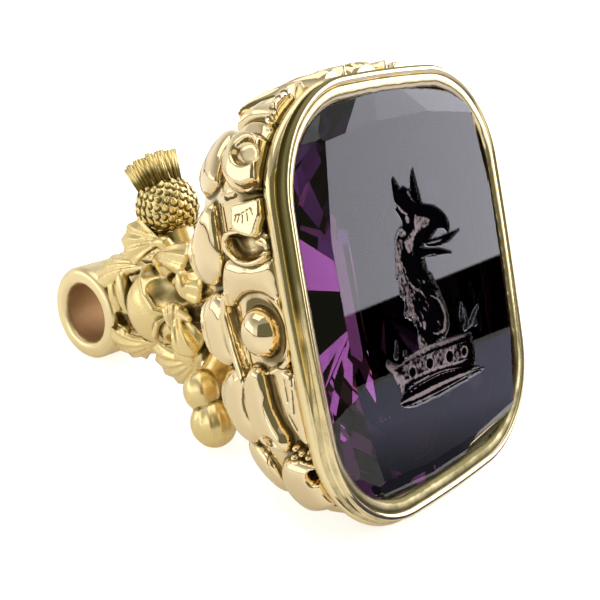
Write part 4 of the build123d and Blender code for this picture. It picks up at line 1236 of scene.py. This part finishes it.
class Tree:
    """A short way to build a node tree: each call adds a node and wires its inputs."""

    def __init__(self, tree):
        self.tree = tree

    def feed(self, node, inputs):
        """Sets a node's inputs, or wires them."""
        for name, value in inputs.items():
            socket = node.inputs[name]
            if isinstance(value, bpy.types.NodeSocket):
                self.tree.links.new(value, socket)
            else:
                socket.default_value = value
        return node

    def add(self, kind, inputs=None, **settings):
        node = self.tree.nodes.new(kind)
        for name, value in settings.items():
            setattr(node, name, value)
        return self.feed(node, inputs or {})

    def first(self, kind, inputs=None, **settings):
        """The first output of a new node."""
        return self.add(kind, inputs, **settings).outputs[0]

    def math(self, operation, *values):
        return self.first("ShaderNodeMath", dict(enumerate(values)), operation=operation)

    def times(self, *values):
        return self.math("MULTIPLY", *values)

    def plus(self, *values):
        return self.math("ADD", *values)

    def combine(self, x, y, z):
        return self.first("ShaderNodeCombineXYZ", {0: x, 1: y, 2: z})

    def noise(self, place, scale, detail):
        return self.first("ShaderNodeTexNoise", {"Vector": place, "Scale": scale, "Detail": detail})

    def span(self, value, start, end, to_start=0.0, to_end=1.0, **settings):
        """A value from one range, brought to another."""
        return self.first("ShaderNodeMapRange", {"Value": value, "From Min": start, "From Max": end,
                                                 "To Min": to_start, "To Max": to_end}, **settings)

    def mix(self, share, a, b):
        """A colour between two."""
        return self.add("ShaderNodeMix", {0: share, 6: a, 7: b}, data_type="RGBA").outputs[2]

    def random(self, least, most, seed):
        node = self.add("FunctionNodeRandomValue", {"Min": least, "Max": most, "Seed": seed},
                        data_type="FLOAT")
        return [socket for socket in node.outputs if socket.enabled][0]


GOLDEN_TURN = 2.399963


def spiral_tree(name, blade):
    """A tree that sets one small form again and again on a spiral round an axis, leaning
    with the surface. blade(tree) makes the form."""
    tree = bpy.data.node_groups.new(name, "GeometryNodeTree")
    tree.interface.new_socket("Geometry", in_out="OUTPUT", socket_type="NodeSocketGeometry")
    for label, kind, value in (("Count", "Int", 60), ("Radius", "Float", 0.002),
                               ("From", "Float", 0.0), ("To", "Float", 1.0),
                               ("Size", "Float", 0.001), ("Lean", "Float", 0.0),
                               ("Twist", "Float", 0.0), ("Seed", "Int", 1),
                               ("Finish", "Material", None)):
        socket = tree.interface.new_socket(label, in_out="INPUT", socket_type="NodeSocket" + kind)
        if value is not None:
            socket.default_value = value
    t = Tree(tree)
    given = t.add("NodeGroupInput").outputs
    index = t.first("GeometryNodeInputIndex")
    share = t.math("DIVIDE", t.plus(index, 0.5), given["Count"])
    level = t.span(share, 0.0, 1.0, given["From"], given["To"])
    flat = t.math("SQRT", t.math("SUBTRACT", 1.0, t.times(level, level)))
    turn = t.times(index, GOLDEN_TURN)
    out = t.combine(t.times(flat, t.math("COSINE", turn)),
                    t.times(flat, t.math("SINE", turn)), level)
    place = t.first("ShaderNodeVectorMath", {0: out, "Scale": given["Radius"]}, operation="SCALE")
    points = t.first("GeometryNodePoints", {"Count": given["Count"], "Position": place,
                                            "Radius": 0.0001})
    facing = t.first("FunctionNodeAlignRotationToVector", {"Vector": out}, axis="Z")
    up = t.first("FunctionNodeAlignRotationToVector", {"Rotation": facing, "Vector": (0, 0, 1)},
                 axis="Y", pivot_axis="Z")
    lean = t.combine(given["Lean"], 0.0, t.times(t.random(-1.0, 1.0, 7), given["Twist"]))
    lean = t.first("FunctionNodeEulerToRotation", {0: lean})
    up = t.first("FunctionNodeRotateRotation", {"Rotation": up, "Rotate By": lean},
                 rotation_space="LOCAL")
    size = t.times(given["Size"], t.random(0.86, 1.08, given["Seed"]))
    many = t.first("GeometryNodeInstanceOnPoints", {"Points": points, "Instance": blade(t),
                                                    "Rotation": up, "Scale": size})
    real = t.first("GeometryNodeRealizeInstances", {"Geometry": many})
    real = t.first("GeometryNodeSetShadeSmooth", {"Geometry": real})
    done = t.first("GeometryNodeSetMaterial", {"Geometry": real, "Material": given["Finish"]})
    t.add("NodeGroupOutput", {"Geometry": done})
    return tree


def scale_blade(t):
    """A fish-scale: a flattened, pointed egg that overlaps the one above it."""
    egg = t.first("GeometryNodeMeshUVSphere", {"Segments": 10, "Rings": 7, "Radius": 1.0})
    x, y, z = t.add("ShaderNodeSeparateXYZ", {0: t.first("GeometryNodeInputPosition")}).outputs
    narrow = t.math("SUBTRACT", 0.62, t.times(y, 0.30))
    shaped = t.combine(t.times(x, narrow), t.times(y, 0.95),
                       t.plus(t.times(z, 0.26), t.times(y, 0.10)))
    return t.first("GeometryNodeSetPosition", {"Geometry": egg, "Position": shaped})


def floret_blade(t):
    """A floret: a slim rod that widens a little to its cut end, with its root at the origin."""
    return t.first("GeometryNodeMeshCone", {"Vertices": 7, "Radius Top": 0.075,
                                            "Radius Bottom": 0.06, "Depth": 1.0})


def worked_out(piece):
    """A piece's mesh as its modifier makes it. The modifier then goes."""
    bpy.context.view_layer.update()
    ready = piece.evaluated_get(bpy.context.evaluated_depsgraph_get())
    mesh = bpy.data.meshes.new_from_object(ready)
    piece.modifiers.clear()
    return mesh


def mark(mesh, name, values):
    """A value for each point of a mesh."""
    mesh.attributes.new(name, "FLOAT", "POINT").data.foreach_set(
        "value", np.asarray(values, np.float32))


def grown(name, blade, settings, place, depth):
    """Sets a form on a spiral and turns the result into a plain mesh at its place on the
    seal, with soil and painted shade between its parts up to this height in mm."""
    tree = spiral_tree(name.replace("_", " "), blade)
    holder = placed(name, bpy.data.meshes.new(name))
    modifier = holder.modifiers.new("spiral", "NODES")
    modifier.node_group = tree
    for item in tree.interface.items_tree:
        if item.in_out == "INPUT" and item.name in settings:
            modifier[item.identifier] = settings[item.name]
    mesh = worked_out(holder)
    points = np.empty(len(mesh.vertices) * 3, np.float32)
    mesh.vertices.foreach_get("co", points)
    high = np.sqrt((points.reshape(-1, 3) ** 2).sum(1)) - settings["Radius"]
    mark(mesh, "shelter", np.clip(1 - high / depth, 0, 1))
    mesh.transform(AT_REST @ place)
    holder.data = mesh
    return holder


def cast_piece(name, points, faces, smooth=True, **marks):
    """A mesh of points in mm of the seal's frame, with a value for each point in marks, and
    its faces turned outwards."""
    mesh = bpy.data.meshes.new(name)
    places = laid(np.asarray(points, float))
    if isinstance(faces, np.ndarray):
        mesh.vertices.add(len(places))
        mesh.vertices.foreach_set("co", places.astype(np.float32).ravel())
        mesh.loops.add(faces.size)
        mesh.loops.foreach_set("vertex_index", faces.astype(np.int32).ravel())
        mesh.polygons.add(len(faces))
        mesh.polygons.foreach_set("loop_start", np.arange(len(faces), dtype=np.int32) * 4)
        mesh.update(calc_edges=True)
    else:
        mesh.from_pydata(places.tolist(), [], faces)
    flags = np.full(len(mesh.polygons), smooth, bool) if isinstance(smooth, bool) else smooth
    mesh.polygons.foreach_set("use_smooth", np.array(flags, bool))
    for label, values in marks.items():
        mark(mesh, label, values)
    mesh.validate()
    bm = bmesh.new()
    bm.from_mesh(mesh)
    if bm.calc_volume(signed=True) < 0:
        bmesh.ops.reverse_faces(bm, faces=bm.faces)
        bm.to_mesh(mesh)
    bm.free()
    return placed(name, mesh)


def lightened(piece, most):
    """Merges the smallest and flattest faces until the piece has at most this many
    triangles."""
    triangles = sum(len(face.vertices) - 2 for face in piece.data.polygons)
    if triangles > most:
        piece.modifiers.new("lighten", "DECIMATE").ratio = most / triangles
        piece.data = worked_out(piece)
    return piece


def finished(piece, material, slot_name, *nodes):
    """Gives a piece its finish, its place in the frame and a material slot. slot_name is not used.
    """
    if not piece.data.materials:
        piece.data.materials.append(material)
    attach(piece, "root")
    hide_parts(*nodes)


# Finishes

def wear_and_shade_group():
    """Handling of old gold: dark soil and painted shade in the recesses, a fine uneven lustre
    and a soft, hammered surface."""
    group = bpy.data.node_groups.new("old gold wear and shade", "ShaderNodeTree")
    for label, kind, value in (("Gold", "Color", (1, 0.8, 0.4, 1)),
                               ("Soil and shade", "Color", (0.1, 0.06, 0.02, 1)),
                               ("Darkening", "Float", 1.0), ("Roughness", "Float", 0.1),
                               ("Satin", "Float", 0.0), ("Hammering", "Float", 0.2)):
        socket = group.interface.new_socket(label, in_out="INPUT", socket_type="NodeSocket" + kind)
        socket.default_value = value
    for label, kind in (("Color", "Color"), ("Roughness", "Float"), ("Normal", "Vector")):
        group.interface.new_socket(label, in_out="OUTPUT", socket_type="NodeSocket" + kind)
    t = Tree(group)
    given = t.add("NodeGroupInput").outputs
    place = t.add("ShaderNodeTexCoord").outputs["Object"]
    shelter = t.add("ShaderNodeAttribute", attribute_name="shelter").outputs["Fac"]
    cloud = t.noise(place, 900.0, 3.0)
    grain = t.noise(place, 5200.0, 2.0)
    swell = t.noise(place, 520.0, 2.0)
    uneven = t.math("SUBTRACT", cloud, 0.5)
    # Soil and painted shade, by how sheltered each point is
    soiled_and_shaded = t.span(t.plus(shelter, t.times(uneven, 0.3)), 0.30, 0.60, 0.0, given["Darkening"],
                    interpolation_type="SMOOTHSTEP")
    rough = t.plus(t.plus(given["Roughness"], t.times(uneven, 0.12)), t.times(soiled_and_shaded, 0.35))
    rough = t.plus(rough, t.times(given["Satin"], grain))
    rough = t.first("ShaderNodeClamp", {"Value": rough, "Min": 0.04, "Max": 0.9})
    soft = t.first("ShaderNodeBump", {"Height": swell, "Strength": given["Hammering"],
                                      "Distance": 0.0002})
    fine = t.first("ShaderNodeBump", {"Height": grain, "Normal": soft, "Distance": 0.00001,
                                      "Strength": t.plus(0.05, given["Satin"])})
    t.add("NodeGroupOutput", {"Color": t.mix(soiled_and_shaded, given["Gold"], given["Soil and shade"]),
                              "Roughness": rough, "Normal": fine})
    return group


def new_material(name):
    """A new material, its tree and its own shader."""
    material = bpy.data.materials.new(name)
    material.use_nodes = True
    return material, Tree(material.node_tree), material.node_tree.nodes["Principled BSDF"]


def gold(name, color, soil_and_shade, darkening, roughness, satin, hammering):
    material, t, shader = new_material(name)
    # The group darkens recesses with soil and painted shade
    wear = t.add("ShaderNodeGroup", node_tree=WEAR_AND_SHADE)
    t.feed(wear, {"Gold": (*color, 1), "Soil and shade": (*soil_and_shade, 1), "Darkening": darkening,
                  "Roughness": roughness, "Satin": satin, "Hammering": hammering})
    t.feed(shader, {"Metallic": 1.0, "Base Color": wear.outputs["Color"],
                    "Roughness": wear.outputs["Roughness"], "Normal": wear.outputs["Normal"]})
    return material


def amethyst():
    """Deep purple stone, clear and polished."""
    material, t, shader = new_material("amethyst")
    place = t.add("ShaderNodeTexCoord").outputs["Object"]
    frost = t.add("ShaderNodeAttribute", attribute_name="frost").outputs["Fac"]
    cloud = t.noise(place, 260.0, 2.0)
    clear = t.mix(cloud, (0.93, 0.84, 0.98, 1), (0.85, 0.70, 0.93, 1))
    smears = t.span(t.noise(place, 700.0, 4.0), 0.55, 0.75, 0.0, 0.03)
    # The cut is painted near black: painted shade
    t.feed(shader, {"IOR": 1.55, "Transmission Weight": 1.0,
                    "Base Color": t.mix(frost, clear, (0.01, 0.008, 0.012, 1)),
                    "Roughness": t.plus(smears, t.times(frost, 0.3))})
    absorb = t.first("ShaderNodeVolumeAbsorption", {"Color": (0.60, 0.38, 0.58, 1),
                                                    "Density": 215.0})
    t.feed(material.node_tree.nodes["Material Output"], {"Volume": absorb})
    return material


def engraving():
    """The cut of the crest: painted near black as painted shade, with pale flecks of frosting
    and painted highlights.
    """
    material, t, shader = new_material("engraving")
    place = t.add("ShaderNodeTexCoord").outputs["Object"]
    powder = t.add("ShaderNodeAttribute", attribute_name="powder").outputs["Fac"]
    speck = t.noise(place, 3600.0, 3.0)
    drift = t.times(t.math("SUBTRACT", speck, 0.5), 1.6)
    fleck = t.times(t.span(t.plus(powder, drift), 0.30, 0.75),
                    t.math("MINIMUM", t.times(powder, 5.0), 1.0))
    light = t.mix(t.noise(place, 800.0, 2.0), (0.36, 0.34, 0.35, 1), (0.40, 0.27, 0.28, 1))
    bump = t.first("ShaderNodeBump", {"Height": speck, "Strength": 0.5, "Distance": 0.00004})
    t.feed(shader, {"Base Color": t.mix(fleck, (0.002, 0.0016, 0.0026, 1), light),
                    "Roughness": t.plus(0.22, t.times(fleck, 0.45)), "Normal": bump,
                    "Specular IOR Level": 0.0})
    return material


# Studio: pale floor, white surround, soft panels and dark cards

# How much the paper shines, for the camera and for what reflects it
PAPER_LIFT, PAPER_GLOW = 0.66, 0.13


def sheet(name, corners, material):
    """A flat sheet of the studio."""
    mesh = bpy.data.meshes.new(name)
    mesh.from_pydata(corners, [], [(0, 1, 2, 3)])
    mesh.materials.append(material)
    return placed(name, mesh)


def card(name, corners, color, strength):
    """A flat card that lights the seal and shows in its reflections, but not itself. In black
    it is a dark card."""
    material, t, shader = new_material(name)
    t.tree.nodes.clear()
    glow = t.first("ShaderNodeEmission", {"Color": (*color, 1), "Strength": strength})
    t.add("ShaderNodeOutputMaterial", {"Surface": glow})
    panel = sheet(name, corners, material)
    panel.visible_camera = False
    return panel, t


def standing_card(name, azimuth, distance, width, low, high, color, strength):
    """An upright card round the seal. Azimuth 0 is to the right, and -90 to the front."""
    out = Vector((*heading(azimuth), 0))
    side = Vector((-out.y, out.x, 0)) * width / 2
    foot, top = (out * distance + Vector((0, 0, level)) for level in (low, high))
    card(name, [foot + side, foot - side, top - side, top + side], color, strength)


def make_surround():
    """White all round for the camera, and a dim tent for the gold to reflect."""
    world = bpy.data.worlds.new("studio")
    bpy.context.scene.world = world
    world.use_nodes = True
    world.node_tree.nodes.clear()
    t = Tree(world.node_tree)
    seen = t.first("ShaderNodeBackground", {"Color": (1, 1, 1, 1), "Strength": 1.0})
    place = t.add("ShaderNodeTexCoord").outputs["Generated"]
    level = t.add("ShaderNodeSeparateXYZ", {0: place}).outputs[2]
    tent = t.first("ShaderNodeBackground", {"Color": (1.0, 0.985, 0.96, 1),
                                            "Strength": t.span(level, 0.25, 0.75, 0.95, 0.38)})
    camera = t.add("ShaderNodeLightPath").outputs["Is Camera Ray"]
    both = t.first("ShaderNodeMixShader", {0: camera, 1: tent, 2: seen})
    t.add("ShaderNodeOutputWorld", {0: both})


def make_floor():
    paper, t, shader = new_material("white paper")
    camera = t.add("ShaderNodeLightPath").outputs["Is Camera Ray"]
    lift = t.plus(t.times(camera, PAPER_LIFT - PAPER_GLOW), PAPER_GLOW)
    t.feed(shader, {"Roughness": 0.9, "Specular IOR Level": 0.1, "Emission Color": (1, 1, 1, 1),
                    "Base Color": t.mix(camera, (0.88, 0.87, 0.84, 1), (0.95, 0.95, 0.95, 1)),
                    "Emission Strength": lift})
    far = 1.5
    corners = [(-far, -far, 0), (far, -far, 0), (far, far, 0), (-far, far, 0)]
    sheet("floor", corners, paper)


def make_grey_sheet():
    """A grey sheet in front of the stone, lighter to the right, that only shows in the lower
    part of its table."""
    level = 0.0003
    panel, t = card("grey sheet", [(-0.012, -0.0196, level), (0.02, -0.0196, level),
                                   (0.145, -0.02, level), (0.05, -0.125, level)],
                    (0.70, 0.70, 0.95), 1.0)
    place = t.add("ShaderNodeTexCoord").outputs["Object"]
    across = t.first("ShaderNodeSeparateXYZ", {0: place})
    t.feed(t.tree.nodes["Emission"], {"Strength": t.span(across, 0.004, 0.036, 0.10, 1.0)})
    panel.visible_diffuse = False
    panel.visible_shadow = False


def make_studio():
    bpy.context.scene.view_settings.view_transform = "Standard"
    make_surround()
    make_floor()
    # The paper's far edge shows as a dark line below bright walls
    for azimuth in range(-80, 280, 20):
        low, high, color = 0.004, 0.009, (0.10, 0.08, 0.04)
        if azimuth <= 0:
            low, high, color = 0.0, 0.013, (0, 0, 0)
        standing_card("dark rim", azimuth, 0.138, 0.05, low, high, color, 1.0)
    make_grey_sheet()
    standing_card("front right wall", -26, 0.40, 0.58, 0.012, 0.38, (0.95, 0.94, 1.04), 3.1)
    standing_card("left wall", 150, 0.40, 0.56, 0.012, 0.22, (1, 0.98, 0.95), 1.6)
    standing_card("camera side", 246, 0.20, 0.34, 0.0, 0.21, (0.15, 0.15, 0.10), 1.0)
    height = 0.34
    card("overhead", [(-0.20, -0.10, height), (-0.20, 0.22, height), (0.26, 0.22, height),
                      (0.26, -0.10, height)], (1, 0.99, 0.97), 1.45)


make_camera()
WEAR_AND_SHADE = wear_and_shade_group()
# Gold colour, soil and painted shade colour, then darkening, roughness, satin and hammering
POLISHED = gold("polished gold", (0.93, 0.76, 0.46), (0.15, 0.11, 0.04), 0.93, 0.07, 0.0, 0.12)
BEZEL_GOLD = gold("bezel gold", (0.93, 0.77, 0.43), (0.17, 0.15, 0.05), 0.95, 0.15, 0.03, 0.10)
SATIN = gold("satin gold", (0.89, 0.71, 0.34), (0.13, 0.09, 0.018), 0.93, 0.27, 0.03, 0.25)
THISTLE_GOLD = gold("thistle gold", (0.88, 0.70, 0.30), (0.17, 0.12, 0.02), 0.93, 0.25, 0.03, 0.25)
WORN = gold("worn gold", (0.93, 0.77, 0.43), (0.40, 0.23, 0.10), 0.95, 0.28, 0.03, 0.25)

# How far wide recesses of a casting darken with soil and painted shade, and where the case's
# tiers meet and end
TIER_SOIL_AND_SHADE, HANDLE_SOIL_AND_SHADE = 0.3, 0.8
TIER_EDGE, TIER_BACK = 5.2, 11.0

scrolls = chased_scrolls()
for tier, front, back in (("case_front_tier", CASE_FRONT, TIER_EDGE),
                          ("case_rear_tier", TIER_EDGE, TIER_BACK)):
    points, faces, shelter = skin(make_case_tier(front, back, scrolls), TIER_SOIL_AND_SHADE)
    way, over = on_wall(points[:, 0], points[:, 1], -points[:, 2])
    # Soil and painted shade at the feet of the chased forms, in their hollows and cuts
    shelter = np.maximum(shelter, scrolls.at(way, -points[:, 2], stain_and_shade=True)[0])
    # The inside of the case is painted dark: painted shade
    shelter = np.maximum(shelter, np.clip(-(over + 0.7) / 0.2, 0, 1))
    piece = cast_piece(tier, points, faces, shelter=shelter)
    finished(lightened(piece, TIER_TRIANGLES), POLISHED, "polished_gold", "case")

points, faces, shelter = skin(make_handle_casting(), HANDLE_SOIL_AND_SHADE)
left = np.column_stack([-np.abs(points[:, 0]), points[:, 1:]])
# Painted shade patches in the handle's recesses
for middle, reach, strength in HANDLE_PAINTED_SHADE:
    apart = np.sqrt(((left - middle) ** 2).sum(1))
    shelter = np.maximum(shelter, strength * np.clip(1.6 * (1 - apart / reach), 0, 1))
handle = cast_piece("floral_handle", points, faces, shelter=shelter)
finished(lightened(handle, HANDLE_TRIANGLES), SATIN, "satin_gold", "handle")
points, faces, soil_and_shade = make_bezel_mesh()
bezel = cast_piece("bezel_moulding", points, faces, shelter=soil_and_shade)
finished(bezel, BEZEL_GOLD, "polished_gold", "bezel")
points, faces, soil_and_shade = make_ring_mesh()
ring = cast_piece("barrel_ring", points, faces, shelter=soil_and_shade)
finished(ring, WORN, "satin_gold", "suspension_ring")

points, faces, frost, powder, smooth = make_stone_mesh()
stone = cast_piece("engraved_stone", points, faces, smooth, frost=frost, powder=powder)
STONE = amethyst()
stone.data.materials.append(STONE)
stone.data.materials.append(engraving())
cut_faces = np.array([np.mean(frost[list(face)]) > 0.6 for face in faces], np.int32)
stone.data.polygons.foreach_set("material_index", cut_faces)
finished(stone, STONE, "amethyst", "stone")

upright = Vector(TUFT_AXIS).to_track_quat("Z", "Y")
head = Matrix.LocRotScale(Vector(THISTLE_HEAD), upright, None)
scales = grown("thistle_scales", scale_blade,
               {"Count": 165, "Radius": THISTLE_RADIUS, "From": -0.96, "To": 0.80, "Size": 0.45,
                "Lean": 0.22, "Twist": 0.9, "Seed": 3, "Finish": THISTLE_GOLD}, head, 0.16)
finished(scales, THISTLE_GOLD, "satin_gold", "handle")
# The florets stand on a wide dome, so they fan out only a little
TUFT_DEPTH = 8.6
foot = Matrix.LocRotScale(Vector(TUFT_FOOT), upright, None)
florets = grown("thistle_tuft", floret_blade,
                {"Count": 210, "Radius": TUFT_DEPTH, "From": 0.984, "To": 0.9999, "Size": 2.35,
                 "Lean": 0.0, "Twist": 0.0, "Seed": 5, "Finish": THISTLE_GOLD},
                foot @ Matrix.Translation((0, 0, -TUFT_DEPTH)), 0.6)
finished(florets, THISTLE_GOLD, "satin_gold", "handle")

make_studio()
